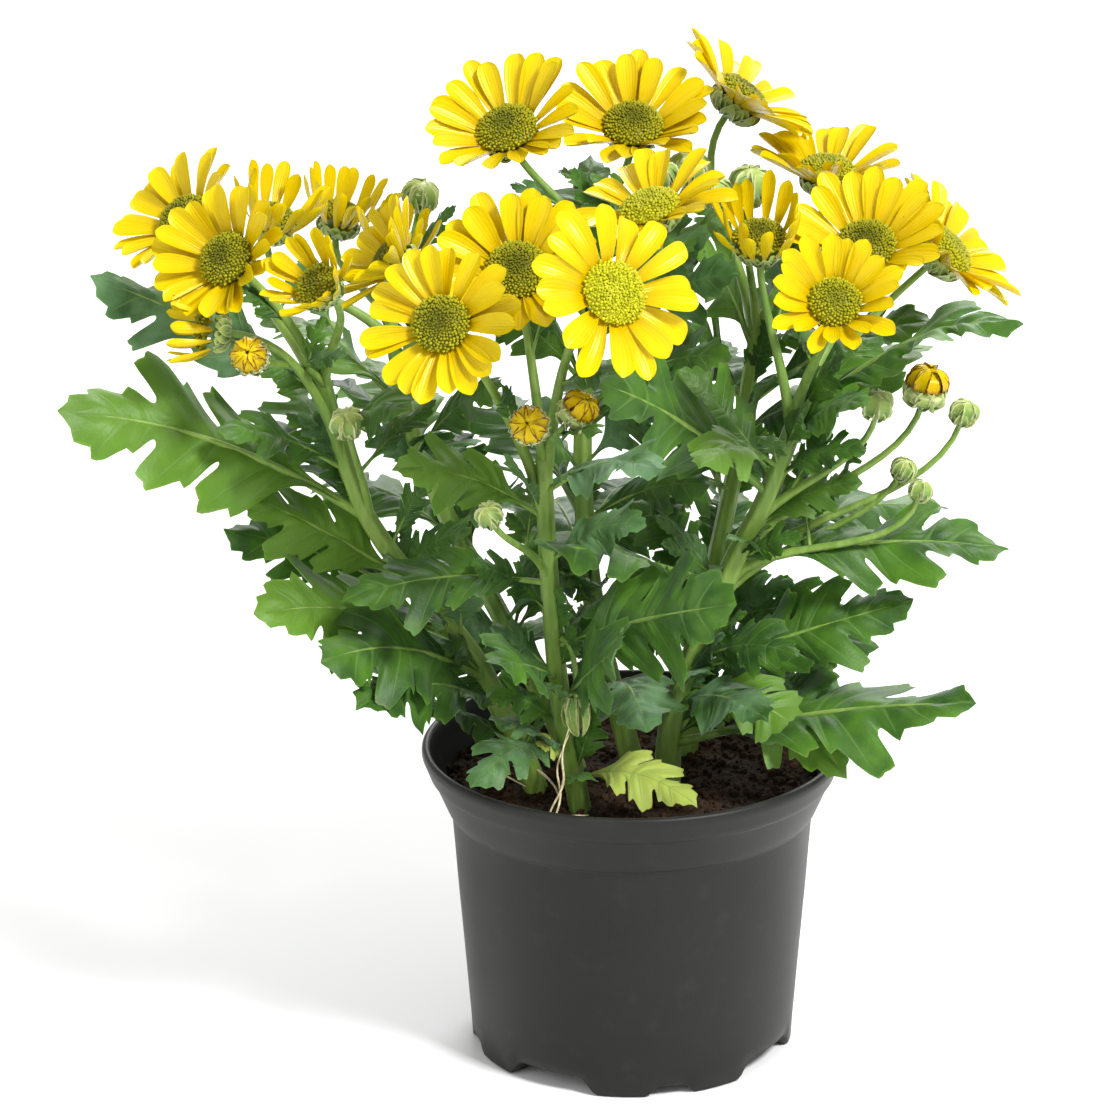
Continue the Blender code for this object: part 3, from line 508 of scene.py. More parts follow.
def bend(start, leave, arrive, end, steps):
    # a curve from start to end that leaves along one vector and arrives along the other
    one, two = start + leave, end - arrive
    ts = [step / steps for step in range(steps + 1)]
    return [(1 - t) ** 3 * start + 3 * t * (1 - t) ** 2 * one + 3 * t * t * (1 - t) * two + t ** 3 * end
            for t in ts]


def direction(way, lean):
    way, lean = math.radians(way), math.radians(lean)
    return Vector((math.sin(way) * math.sin(lean), -math.cos(way) * math.sin(lean), math.cos(lean)))


def headPlace(place, way, lean):
    # from a head's own axes, with z out of the disc, to the frame
    axis = direction(way, lean)
    side = up.cross(axis).normalized()
    turned = Matrix((side, axis.cross(side), axis)).transposed().to_4x4()
    return Matrix.Translation(metres(place)) @ turned


def stemPoint(stem, height):
    path = smoothPath(metres(stems[stem][0]), 4)
    for low, high in zip(path, path[1:]):
        if low.z <= height <= high.z:
            return low.lerp(high, (height - low.z) / (high.z - low.z))
    return path[-1]


# Materials

def newMaterial(name, roughness, **settings):
    material = bpy.data.materials.new(name)
    material.use_nodes = True
    tree = material.node_tree
    sockets = tree.nodes["Principled BSDF"].inputs
    sockets["Roughness"].default_value = roughness
    for label, value in settings.items():
        sockets[label.replace("_", " ")].default_value = value
    return material, tree, sockets


def objectSpot(tree):
    return addNode(tree, "ShaderNodeTexCoord", give="Object")


def objectNoise(tree, scale, detail=3.0, stretch=None):
    spot = objectSpot(tree)
    if stretch:
        spot = addNode(tree, "ShaderNodeMapping", {"Vector": spot, "Scale": stretch})
    return addNode(tree, "ShaderNodeTexNoise", {"Vector": spot, "Scale": scale, "Detail": detail})


def blend(share, one, two):
    # a colour or a value, that share of the way from one to two
    tree = next(value.tree for value in (share, one, two) if isinstance(value, Value))
    return addNode(tree, "ShaderNodeMix", {0: share, 6: one, 7: two}, give=2, data_type="RGBA")


def bumpFrom(sockets, height, distance, strength=1.0):
    bump = addNode(height.tree, "ShaderNodeBump",
                   {"Height": height, "Distance": distance, "Strength": strength})
    join(bump, sockets["Normal"])


def attributeOf(tree, name):
    return addNode(tree, "ShaderNodeAttribute", give="Fac", attribute_name=name)


def ownUv(tree, name):
    return addNode(tree, "ShaderNodeUVMap", uv_map=name)


# The pale blue-green mixed into leaves of low tone is painted sheen. It stands in for a bluish-white sheen of
# light and is not a colour of the leaf.
leafLook = {"dark": (0.016, 0.058, 0.006, 1), "fresh": (0.066, 0.170, 0.009, 1),
            "young": (0.128, 0.258, 0.019, 1), "vein": (0.130, 0.240, 0.060, 1),
            "under": (0.080, 0.160, 0.050, 1), "sheen": (0.72, 0.90, 0.78, 1),
            "old": (0.520, 0.540, 0.120, 1), "paintedSheen": (0.170, 0.290, 0.210, 1),
            "patches": 90.0, "cells": 700.0, "paintedSheenShare": 0.55, "underShare": 0.45}


def leafMaterial(name, below):
    look = leafLook
    material, tree, sockets = newMaterial(name, 0.62 if below else 0.50, Sheen_Weight=0.08,
                                          Sheen_Roughness=0.5, Sheen_Tint=look["sheen"],
                                          Specular_IOR_Level=0.34,
                                          Subsurface_Weight=0.12, Subsurface_Scale=0.0015,
                                          Subsurface_Radius=(0.4, 1.0, 0.1))
    along, across, _ = axesOf(ownUv(tree, "leafUv"))
    tone = attributeOf(tree, "tone")  # 0 with most painted bluish sheen, up to 1 young, above that yellowed
    patches = objectNoise(tree, look["patches"], 4.0)
    green = blend(spread(patches, 0.3, 0.7), look["dark"], look["fresh"])
    green = blend(spread(tone, 0.78, 1.0), green, look["young"])
    # painted sheen: leaves of low tone get pale bluish patches in their base colour, standing in for a
    # bluish-white sheen of light
    paintedSheenPatches = spread(tone, 0.0, 0.30, (look["paintedSheenShare"], 0.0)) * spread(patches, 0.35, 0.65)
    green = blend(paintedSheenPatches, green, look["paintedSheen"])
    green = blend(spread(tone, 1.1, 2.0), green, look["old"])
    if below:
        green = blend(look["underShare"], green, look["under"])
    # side veins run at whole numbers of the first coordinate, the rib at 0 of the second
    away = abs((along + 0.5).fraction() - 0.5)
    side = spread(away * (across + 0.12), 0.008, 0.030, (1.0, 0.0)) * spread(across, 0.65, 0.90, (1.0, 0.0))
    rib = spread(across, 0.015, 0.055, (1.0, 0.0))
    rim = spread(across, 0.955, 1.0, (0.0, 0.8))
    vein = side.larger(rib).larger(rim)
    join(blend(vein * (0.6 if below else 0.42), green, look["vein"]), sockets["Base Color"])
    cells = addNode(tree, "ShaderNodeTexVoronoi", {"Vector": objectSpot(tree), "Scale": look["cells"]},
                    feature="DISTANCE_TO_EDGE")
    bumpFrom(sockets, vein * (1.0 if below else -0.8) + spread(cells, 0.0, 0.3) * 0.35, 0.00018, 0.5)
    return material


# Petal colours: deep is a shade colour, also used for the streaks, and tip is a lighter, lit yellow.
petalLook = {"bright": (0.660, 0.475, 0.0003, 1), "deep": (0.520, 0.320, 0.0003, 1),
             "tip": (0.720, 0.545, 0.0005, 1), "pale": (0.860, 0.720, 0.010, 1),
             "rust": (0.120, 0.022, 0.006, 1), "sheen": (1.0, 0.95, 0.40, 1), "roughness": 0.27,
             "ribs": {"Scale": 2.2, "Distortion": 0.8, "Detail": 2.0, "Detail Scale": 1.0},
             "ribShare": 0.07, "paleShare": 0.10, "rustEdge": (0.36, 0.46), "rustRoot": 0.16}


def petalMaterial(name, rusty):
    look = petalLook
    material, tree, sockets = newMaterial(name, look["roughness"], Subsurface_Weight=0.08,
                                          Subsurface_Scale=0.0010, Subsurface_Radius=(1.0, 0.8, 0.05),
                                          Specular_IOR_Level=0.42, Specular_Tint=look["sheen"])
    spot = ownUv(tree, "petalUv")
    along, across, _ = axesOf(spot)
    # painted shade and light: darker towards the root, standing in for shade near the disc, and lighter
    # towards the tip, standing in for light on the tips
    colour = blend(spread(along, 0.0, 0.5), look["deep"], look["bright"])
    colour = blend(spread(along, 0.6, 1.0), colour, look["tip"])
    ribs = addNode(tree, "ShaderNodeTexWave", {"Vector": spot, **look["ribs"]}, give="Fac",
                   bands_direction="Y")
    colour = blend(spread(ribs, 0.2, 1.0) * look["ribShare"], colour, look["deep"])
    colour = blend(attributeOf(tree, "tone") * look["paleShare"], colour, look["pale"])
    if rusty:
        off = abs(across - 0.5) + spread(objectNoise(tree, 900.0, 3.0), 0.3, 0.7, (-0.06, 0.06))
        edge = spread(off, *look["rustEdge"]).larger(spread(along, 0.0, look["rustRoot"], (0.9, 0.0)))
        colour = blend(edge, blend(0.25, colour, look["deep"]), look["rust"])
    join(colour, sockets["Base Color"])
    bumpFrom(sockets, ribs, 0.0002, 0.3)
    return material


# Disc colours: the gap colour is painted shade, darkening the feet of the florets and the dome between them.
floretLook = {"heart": (0.120, 0.125, 0.002, 1), "rim": (0.330, 0.330, 0.004, 1),
              "lit": (0.600, 0.530, 0.006, 1), "paintedGapShade": (0.055, 0.062, 0.001, 1),
              "fresh": (0.640, 0.640, 0.010, 1)}


def floretMaterial(name):
    look = floretLook
    material, tree, sockets = newMaterial(name, 0.55, Specular_IOR_Level=0.3)
    rim, top, fresh, tone = (attributeOf(tree, key) for key in ("rim", "top", "fresh", "tone"))
    colour = blend(spread(rim, 0.25, 1.0), look["heart"], look["rim"])
    colour = blend(fresh, colour, look["fresh"])
    colour = blend(spread(top, 0.4, 1.0) * spread(rim, 0.3, 1.0, (0.05, 0.55)), colour, look["lit"])
    colour = blend(tone * 0.40, colour, look["heart"])
    # painted shade: the low part of each floret is darkened where shade falls between florets, less on fresh
    # discs
    paintedGapShade = spread(top, 0.0, 0.35, (0.7, 0.0)) * spread(fresh, 0.0, 1.0, (1.0, 0.35))
    join(blend(paintedGapShade, colour, look["paintedGapShade"]), sockets["Base Color"])
    return material


bractLook = {"root": (0.120, 0.230, 0.035, 1), "tip": (0.330, 0.430, 0.090, 1), "edge": (0.62, 0.64, 0.30, 1)}


def bractMaterial(name):
    material, tree, sockets = newMaterial(name, 0.5, Sheen_Weight=0.3, Specular_IOR_Level=0.4)
    along, across, _ = axesOf(ownUv(tree, "petalUv"))
    colour = blend(spread(along, 0.2, 0.95), bractLook["root"], bractLook["tip"])
    edge = spread(abs(across - 0.5), 0.34, 0.48)
    join(blend(edge * 0.8, colour, bractLook["edge"]), sockets["Base Color"])
    bumpFrom(sockets, objectNoise(tree, 900.0, 2.0), 0.0002, 0.5)
    return material


# Materials of two tones mixed by one noise, with a third tone in spots of another. A noise is scale, detail
# and stretch, and after it stands the part of its range that counts.
stemLook = {"roughness": 0.5, "settings": {"Sheen_Weight": 0.1, "Specular_IOR_Level": 0.4},
            "dark": (0.095, 0.200, 0.020, 1), "light": (0.200, 0.330, 0.042, 1), "mix": ((40.0,), 0.35, 0.65),
            "spots": ((500.0, 4.0, (1.0, 1.0, 0.06)), 0.4, 0.7), "spotShare": 0.5,
            "spot": (0.30, 0.43, 0.11, 1), "bump": (500.0, 4.0, (1.0, 1.0, 0.06)), "depth": 0.0004}
potLook = {"roughness": 0.42, "settings": {"Specular_IOR_Level": 0.22},
           "dark": (0.0125, 0.0130, 0.0115, 1), "light": (0.0175, 0.0182, 0.0160, 1),
           "mix": ((22.0, 4.0), 0.3, 0.7), "spots": ((140.0, 6.0), 0.58, 0.8), "spotShare": 0.20,
           "spot": (0.045, 0.044, 0.040, 1), "bump": (1400.0,), "depth": 0.00008, "worn": (0.36, 0.50)}
soilLook = {"roughness": 0.95, "settings": {"Specular_IOR_Level": 0.2},
            "dark": (0.006, 0.004, 0.003, 1), "light": (0.050, 0.026, 0.012, 1),
            "mix": ((600.0, 6.0), 0.3, 0.75), "spots": ((80.0, 5.0), 0.5, 0.75), "spotShare": 0.6,
            "spot": (0.066, 0.034, 0.015, 1), "bump": (600.0, 6.0), "depth": 0.0015, "bumpStrength": 1.0,
            "crumb": (0.11, 0.055, 0.025, 1)}
strawLook = {"roughness": 0.6, "dark": (0.42, 0.33, 0.16, 1), "light": (0.78, 0.70, 0.45, 1),
             "mix": ((700.0,), 0.3, 0.7)}


def mottledMaterial(name, look):
    material, tree, sockets = newMaterial(name, look["roughness"], **look.get("settings", {}))

    def noiseShare(noiseOf, low, high):
        return spread(objectNoise(tree, *noiseOf), low, high)

    colour = blend(noiseShare(*look["mix"]), look["dark"], look["light"])
    if "spots" in look:
        colour = blend(noiseShare(*look["spots"]) * look["spotShare"], colour, look["spot"])
    if "crumb" in look:
        colour = blend(attributeOf(tree, "tone") * 0.5, colour, look["crumb"])
    join(colour, sockets["Base Color"])
    if "worn" in look:
        join(spread(objectNoise(tree, *look["mix"][0]), 0.25, 0.75, look["worn"]), sockets["Roughness"])
    if "bump" in look:
        bumpFrom(sockets, objectNoise(tree, *look["bump"]), look["depth"], look.get("bumpStrength", 0.5))
    return material


print("materials")
leafTop = leafMaterial("leaf upper face", False)
leafUnder = leafMaterial("leaf under face", True)
stemGreen = mottledMaterial("ribbed stem", stemLook)
petalYellow = petalMaterial("yellow petal", False)
petalRusty = petalMaterial("rust edged petal", True)
budHeart = newMaterial("dark bud heart", 0.7, Base_Color=petalLook["rust"])[0]
floretLime = floretMaterial("disc florets")
bractGreen = bractMaterial("green bract")
potPlastic = mottledMaterial("dark pot plastic", potLook)
peat = mottledMaterial("peat soil", soilLook)
straw = mottledMaterial("dry straw", strawLook)


# Blades for the rings: flat, a unit long on x and a unit wide on y, closed at the edge

# faces along and across, rise of the edges, height of the ridges and thickness, over the blade's width
blades = {"petal": {"along": 11, "across": 6, "channel": 0.22, "ridges": 0.06, "thickness": 0.055},
          "bract": {"along": 6, "across": 4, "channel": -0.22, "ridges": 0.0, "thickness": 0.12},
          "tipDensity": 1.8, "tipCurve": 0.02}


def bladeMesh(name, outline):
    # outline gives the width at a share of the length
    look = blades[name]
    along, across = look["along"], look["across"]
    upper, uvs = [], []
    for row in range(along + 1):
        u = 1 - (1 - row / along) ** blades["tipDensity"]
        for column in range(across + 1):
            v = 2 * column / across - 1
            half = outline(u) * 0.5
            ridge = look["ridges"] * math.cos(3 * math.pi * v) * half * (1 - abs(v)) * (1 - u * 0.4)
            upper.append((u - blades["tipCurve"] * v * v * u ** 6, v * half,
                          look["channel"] * v * v * half * 2 + ridge))
            uvs.append((u, 0.5 + v / 2))
    width = across + 1
    points, index = list(upper), []
    for k, (x, y, z) in enumerate(upper):
        row, column = divmod(k, width)
        ends, sides = min(row, along - row), min(column, across - column)
        if not ends or not sides:
            index.append(k)
            continue
        fade = min(1.0, 4 * ends / along) * min(1.0, 2.2 * sides / across)
        index.append(len(points))
        points.append((x, y, z - look["thickness"] * fade))
    faces, corners = [], []
    for start in (row * width + column for row in range(along) for column in range(across)):
        quad = (start, start + width, start + width + 1, start + 1)
        faces += [quad, tuple(index[k] for k in reversed(quad))]
        corners += [uvs[k] for k in quad] + [uvs[k] for k in reversed(quad)]
    mesh = meshFrom(name + "Blade", points, faces)
    mesh.uv_layers.new(name="petalUv").data.foreach_set("uv", np.array(corners).ravel())
    sharpenRim(mesh, [0, 1] * (along * across))
    return mesh


def roundTip(u, start, end):
    return math.sqrt(1 - max(0.0, (u - start) / (end - start)) ** 2)


def petalOutline(u):
    return (0.36 + 0.64 * math.sin(0.5 * math.pi * min(1.0, u / 0.76)) ** 1.4) * roundTip(u, 0.79, 1.012)


def bractOutline(u):
    return (0.80 + 0.20 * math.sin(math.pi * u)) * roundTip(u, 0.40, 1.01)


petalBlade = bladeMesh("petal", petalOutline)
bractBlade = bladeMesh("bract", bractOutline)


def bladeRings(name, rings, size, place, seed, paint, layerStep, unevenness, start=0.0):
    # rings of bracts or young rays, each as count, root radius, height, tilt, length, width and curl, with
    # the lengths over the size
    made = []
    for layer, (rays, root, height, tilt, length, width, curl) in enumerate(rings):
        sizes = {"Rays": rays, "Length": length * size, "Width": width * size, "Root Radius": root * size,
                 "Cup": tilt, "Curl": curl, "Layer Step": layerStep, "Unevenness": unevenness,
                 "Start": start * layer, "Seed": seed + layer, "Paint": paint}
        raised = place @ Matrix.Translation((0, 0, height * size))
        made.append(grow(name, bractBlade, rayRing, sizes, raised))
    return made


# Blooms

petals = {"perFrameRay": 1.55, "loose": {"bloom_10": 0.80, "bloom_11": 0.88, "bloom_18": 0.92},
          "width": 0.0061, "widest": 0.0066, "usualReach": 0.022, "narrowing": 0.42, "curl": math.radians(45),
          "straightCup": math.radians(42), "leastCurl": 0.12, "cupForCurl": 0.4, "sink": 0.0019, "root": 0.72,
          "steepRoot": 0.20, "layerStep": -0.13, "layerLength": 0.04, "startStep": 0.7}
discs = {"share": 0.37, "cupShrink": 0.12, "inset": 0.97, "florets": 380, "usualRadius": 0.008,
         "height": 0.0031, "floretSize": 0.00088, "stray": 0.00022,
         "fresh": {"bloom_10": 0.9, "bloom_11": 0.6, "bloom_15": 0.35, "bloom_19": 0.4, "bloom_18": 0.2},
         "skirt": (0.9, -0.0008), "dome": (1.0, 0.93, 0.82, 0.65, 0.4, 0.05), "domeLift": 0.0001,
         "domeTones": {"rim": 0.6, "top": 0.25}}


def floretMesh():
    # a small five-sided bud
    mesh = latheMesh("floret", ((0.36, 0.0), (0.47, 0.60), (0.20, 1.0)), 5, None)
    addAttribute(mesh, "top", [min(1.0, max(0.0, vertex.co.z)) for vertex in mesh.vertices])
    return mesh


def petalRings(name, bloom, seed):
    _, _, place, way, lean, reach, cup, count = bloom
    reach, rise = metres(reach), math.radians(cup)
    curl = petals["curl"] * (1 - rise / petals["straightCup"])
    curl = math.copysign(max(abs(curl), petals["leastCurl"]), curl)
    radius, steepness = discs["share"] * reach, math.sin(rise) ** 4
    width = petals["width"] * reach / petals["usualReach"] * (1 - petals["narrowing"] * steepness)
    sizes = {"Rays": round(count * petals["perFrameRay"] * petals["loose"].get(name, 1.0)),
             "Length": reach - petals["root"] * radius, "Width": min(width, petals["widest"]),
             "Root Radius": radius * (petals["root"] + petals["steepRoot"] * steepness),
             "Cup": rise + petals["cupForCurl"] * curl, "Curl": curl, "Layer Step": petals["layerStep"],
             "Layer Length": petals["layerLength"], "Start": seed * petals["startStep"], "Seed": seed,
             "Paint": petalYellow}
    lower = headPlace(place, way, lean) @ Matrix.Translation((0, 0, -petals["sink"]))
    return grow(name + "_petals", petalBlade, rayRing, sizes, lower)


def floretDisc(name, bloom, seed):
    _, _, place, way, lean, reach, cup, _ = bloom
    rise = math.radians(cup)
    radius = discs["share"] * metres(reach) * (1 - discs["cupShrink"] * math.sin(rise)) * discs["inset"]
    middle, scale = headPlace(place, way, lean), radius / discs["usualRadius"]
    high = discs["height"] * scale
    sizes = {"Florets": round(discs["florets"] * scale ** 2), "Radius": radius * discs["inset"],
             "Dome Height": high,
             "Floret Size": discs["floretSize"], "Stray": discs["stray"],
             "Fresh": discs["fresh"].get(name, 0.0), "Seed": seed, "Paint": floretLime}
    florets = grow(name + "_florets", floret, floretDome, sizes, middle)
    skirt, foot = discs["skirt"]
    profile = [(radius * skirt, foot)]
    profile += [(radius * s, high * (1 - s ** 4) + discs["domeLift"]) for s in discs["dome"]]
    base = turnedPiece(name + "_base", profile, 1.0, 24, floretLime, middle)
    # the dome's low top value gives it part of the painted shade between florets
    for key, value in {**discs["domeTones"], "fresh": sizes["Fresh"]}.items():
        addAttribute(base.data, key, [value] * len(base.data.vertices))
    return fuse(name + "_florets", [florets, base])


print("blooms")
floret = floretMesh()
for seed, (name, bloom) in enumerate(blooms.items(), 1):
    finishPiece(petalRings(name, bloom, seed), "petal", name + "_rays")
    finishPiece(floretDisc(name, bloom, seed), "disc", name + "_disc")


# Opening buds: yellow rays that still curl over the middle

youngRays = {"rings": ((9, 0.78, 0.0, 1.50, 1.20, 0.66, -1.75), (6, 0.46, 0.0, 1.40, 0.80, 0.50, -1.5)),
             "layerStep": -0.08, "unevenness": 0.3, "start": 0.4,
             "core": ((0.50, 0.02), (0.52, 0.30), (0.30, 0.50), (0.05, 0.54))}


def budRays(name, bud, seed):
    _, _, place, way, lean, radius, _ = bud
    middle, radius = headPlace(place, way, lean), metres(radius)
    rings = bladeRings(name + "_ring", youngRays["rings"], radius, middle, seed, petalRusty,
                       youngRays["layerStep"], youngRays["unevenness"], youngRays["start"])
    heart = turnedPiece(name + "_core", youngRays["core"], radius, 14, budHeart, middle)
    return fuse(name + "_petals", rings + [heart])


print("buds")
for seed, (name, bud) in enumerate(buds.items(), 40):
    if bud[-1]:
        finishPiece(budRays(name, bud, seed), "petal", name + "_rays")


# Leaves: each column of the blade runs from a point on the rib to a point of the lobed edge

# Points of the edge as share of the length and half width over the length, then the point on the rib and the
# count of the veins.
leafEdge = (
    (0.1, 0.01, 0.06, 0.0), (0.18, 0.018, 0.13, 0.2), (0.24, 0.044, 0.185, 0.4), (0.29, 0.09, 0.225, 0.6),
    (0.33, 0.142, 0.25, 0.8), (0.376, 0.182, 0.27, 1.0), (0.388, 0.158, 0.285, 1.3),
    (0.438, 0.192, 0.3, 1.7), (0.494, 0.226, 0.315, 2), (0.5, 0.196, 0.328, 2.2),
    (0.528, 0.176, 0.338, 2.35), (0.498, 0.128, 0.355, 2.5), (0.47, 0.088, 0.38, 2.6),
    (0.472, 0.07, 0.415, 2.65), (0.494, 0.094, 0.445, 2.75), (0.528, 0.15, 0.465, 2.9),
    (0.572, 0.21, 0.48, 3), (0.588, 0.184, 0.492, 3.3), (0.646, 0.224, 0.508, 3.7),
    (0.714, 0.26, 0.522, 4), (0.728, 0.23, 0.536, 4.2), (0.758, 0.204, 0.55, 4.35),
    (0.722, 0.144, 0.575, 4.5), (0.69, 0.096, 0.605, 4.6), (0.694, 0.07, 0.64, 4.65),
    (0.718, 0.088, 0.67, 4.8), (0.768, 0.136, 0.695, 5), (0.784, 0.11, 0.72, 5.35),
    (0.846, 0.128, 0.75, 5.8), (0.888, 0.118, 0.775, 6), (0.89, 0.084, 0.81, 6.25),
    (0.946, 0.076, 0.845, 6.7), (0.958, 0.044, 0.885, 6.85), (1.0, 0.0, 0.95, 7))
blade = {"above": 0.00012, "below": 0.00030, "fold": 0.20, "wave": 0.05, "waves": 11, "flatRib": 0.2,
         "quilt": 0.010, "frill": 0.016, "frillCount": (2.2, 3.2), "gutter": 0.008, "gutterWidth": 0.10,
         "unevenLobes": 0.10, "lobeCount": (0.8, 1.3), "broadFrom": 0.14, "broadOver": 0.12,
         "rowEasing": 0.85, "fine": (2, 6), "small": (2, 3)}  # steps along the edge and rows out to it


def edgeSamples(steps):
    # the edge through its points, with so many steps from one to the next
    rows = np.array(leafEdge)
    ends = np.vstack((2 * rows[0] - rows[1], rows, 2 * rows[-1] - rows[-2]))
    samples = []
    for a, b, c, d in zip(ends, ends[1:], ends[2:], ends[3:]):
        for t in np.arange(steps) / steps:
            samples.append(np.concatenate((curveThrough(a, b, c, d, t)[:2], (b + (c - b) * t)[2:])))
    return np.array(samples + [rows[-1]])


def leafGrid(steps, rows):
    # flat points (u, v), their (vein count, share of the way out), quads of the upper face, and which points
    # aren't on the edge
    edge = edgeSamples(steps)
    last = len(edge) - 1
    reach = np.linspace(0, 1, rows + 1) ** blade["rowEasing"]
    flat, coords, ids = [], [], {}

    def point(k, j, side):
        if j == 0 or k == last:
            side = 0
        if (k, j, side) not in ids:
            u, v, rib, vein = edge[k]
            t = reach[j]
            ids[k, j, side] = len(flat)
            flat.append((rib + (u - rib) * t, (side or 1) * v * t))
            coords.append((vein, t))
        return ids[k, j, side]

    quads = []
    for k in range(last):
        for j in range(rows):
            for side in (1, -1):
                around = ((k, j), (k + 1, j), (k + 1, j + 1), (k, j + 1))
                quad = [point(*spot, side) for spot in around]
                quads.append(quad if side > 0 else quad[::-1])
    inner = np.ones(len(flat), bool)
    inner[[i for (k, j, _), i in ids.items() if j == rows or k == 0]] = False
    return np.array(flat), np.array(coords), quads, inner


leafGrids = {key: leafGrid(*blade[key]) for key in ("fine", "small")}


def leafBlade(base, tip, arch, face, width, wave, seed, grid):
    # the blade of one leaf: points, faces and coordinates of each corner
    flat, coords, quads, inner = leafGrids[grid]
    draw = random.Random(seed)
    base, tip = np.array(base), np.array(tip)
    length = float(np.linalg.norm(tip - base))
    middle = (base + tip) / 2 + np.array((0, 0, 2 * arch * length))
    hint = np.array((0, -face, 1.0))
    side = np.sign(flat[:, 1])
    vein, t = coords[:, 0], coords[:, 1]
    # lobes a little longer or shorter, each leaf and side in its own way
    size = {s: 1 + blade["unevenLobes"] * np.sin(vein * draw.uniform(*blade["lobeCount"])
                                                 + draw.uniform(0, 6.3)) for s in (1, -1)}
    u = np.clip(flat[:, 0], 0, 1)
    v = flat[:, 1] * np.where(side > 0, size[1], size[-1])
    share = u[:, None]
    ahead = (1 - share) * (middle - base) + share * (tip - middle)
    ahead /= np.linalg.norm(ahead, axis=1)[:, None]
    normal = hint - ahead * (ahead @ hint)[:, None]
    normal /= np.linalg.norm(normal, axis=1)[:, None]
    broad = np.clip((u - blade["broadFrom"]) / blade["broadOver"], 0, 1)
    reach = v * length * (1 + (width - 1) * broad)
    ripple = blade["wave"] * np.sin(blade["waves"] * u + wave) * np.minimum(np.abs(v) / blade["flatRib"], 1)
    quilt = blade["quilt"] * np.sin(np.pi * vein) ** 2 * np.sin(np.pi * np.minimum(t * 1.15, 1))
    turns = vein * draw.uniform(*blade["frillCount"]) * side + draw.uniform(0, 6.3)
    frill = blade["frill"] * t ** 3 * np.sin(turns)
    gutter = -blade["gutter"] * np.exp(-(t / blade["gutterWidth"]) ** 2)
    lift = length * (ripple + quilt + frill + gutter) - blade["fold"] * np.abs(reach)
    spot = (1 - share) ** 2 * base + 2 * share * (1 - share) * middle + share * share * tip
    spot = spot + np.cross(ahead, normal) * reach[:, None] + normal * lift[:, None]
    below = np.arange(len(flat))
    below[inner] = len(flat) + np.arange(inner.sum())
    points = np.vstack((spot + normal * (blade["above"] * inner)[:, None],
                        (spot - normal * blade["below"])[inner]))
    faces = [tuple(quad) for quad in quads] + [tuple(below[quad[::-1]]) for quad in quads]
    corners = [coords[k] for quad in quads for k in quad] + [coords[k] for quad in quads for k in quad[::-1]]
    return points, faces, corners


def spinePath(base, tip, arch, face, end, steps, sink):
    # the stalk and rib of a leaf up to a share of its length, just under its blade
    base, tip = Vector(base), Vector(tip)
    middle = (base + tip) / 2 + up * 2 * arch * (tip - base).length
    hint = Vector((0, -face, 1))
    path = []
    for step in range(steps + 1):
        u = end * step / steps
        ahead = ((1 - u) * (middle - base) + u * (tip - middle)).normalized()
        normal = (hint - ahead * hint.dot(ahead)).normalized()
        spot = (1 - u) ** 2 * base + 2 * u * (1 - u) * middle + u * u * tip
        path.append(spot - normal * sink * min(1, u * 8))
    return path


def leavesObject(name, rows):
    # all blades of one stem in one mesh, upper and lower faces painted apart
    points, faces, corners, tones, below = [], [], [], [], []
    for (found, quads, coords), tone in rows:
        first = len(points)
        points += list(found)
        faces += [tuple(k + first for k in quad) for quad in quads]
        corners += coords
        tones += [tone] * len(found)
        below += [0] * (len(quads) // 2) + [1] * (len(quads) // 2)
    mesh = meshFrom(name, points, faces, leafTop)
    mesh.materials.append(leafUnder)
    mesh.polygons.foreach_set("material_index", below)
    mesh.uv_layers.new(name="leafUv").data.foreach_set("uv", np.array(corners).ravel())
    addAttribute(mesh, "tone", tones)
    sharpenRim(mesh, below)
    return newObject(name, mesh)


# Stems

growth = {"stemRods": (20, 5.0, 0.14), "stalkRods": (8, 3.0, 0.08),  # sides, ribs and their depth
          "stalk": 0.0011, "budStalk": 0.85, "cupDepth": 0.0060, "budDepth": 0.7, "leaveUp": 0.2,
          "arrive": 0.35, "petiole": 0.0125, "ribEnd": 0.86, "ribSteps": 16, "ribSink": 0.0006,
          "toneSpan": 0.94, "ageTone": 1.55,  # 0 with most painted bluish sheen, up to 1 young, above that yellowed
          "lowJoint": 0.150, "youngLeaf": (0.018, 0.032), "youngTone": 0.85, "youngRib": 0.0006,
          "stalkLeaf": 0.030, "longStalk": 0.025, "stalkLeafTone": 0.8}


def ribbedRods(name, lines, paint, sides=6, ribs=3.0, depth=0.1):
    # ribbed rods along paths, each with its thickness at every point
    points, edges, thick = [], [], []
    for path, radii in lines:
        first = len(points)
        points += [tuple(p) for p in path]
        edges += [(first + k, first + k + 1) for k in range(len(path) - 1)]
        thick += radii
    mesh = bpy.data.meshes.new(name)
    mesh.from_pydata(points, edges, [])
    addAttribute(mesh, "thick", thick)
    sizes = {"Sides": sides, "Ribs": ribs, "Rib Depth": depth, "Seed": 1, "Paint": paint}
    return grow(name, mesh, ribbedStem, sizes)


def stalkPath(stem, height, foot, axis, radius, steps=14):
    start = stemPoint(stem, height)
    span = (foot - start).length
    leave = (up + (foot - start) / span) * growth["leaveUp"] * span
    path = bend(start, leave, axis * growth["arrive"] * span, foot, steps)
    return path, [radius * (1 + (0.1 + 12 * span) * (1 - k / steps) ** 1.6) * 0.92 for k in range(steps + 1)]


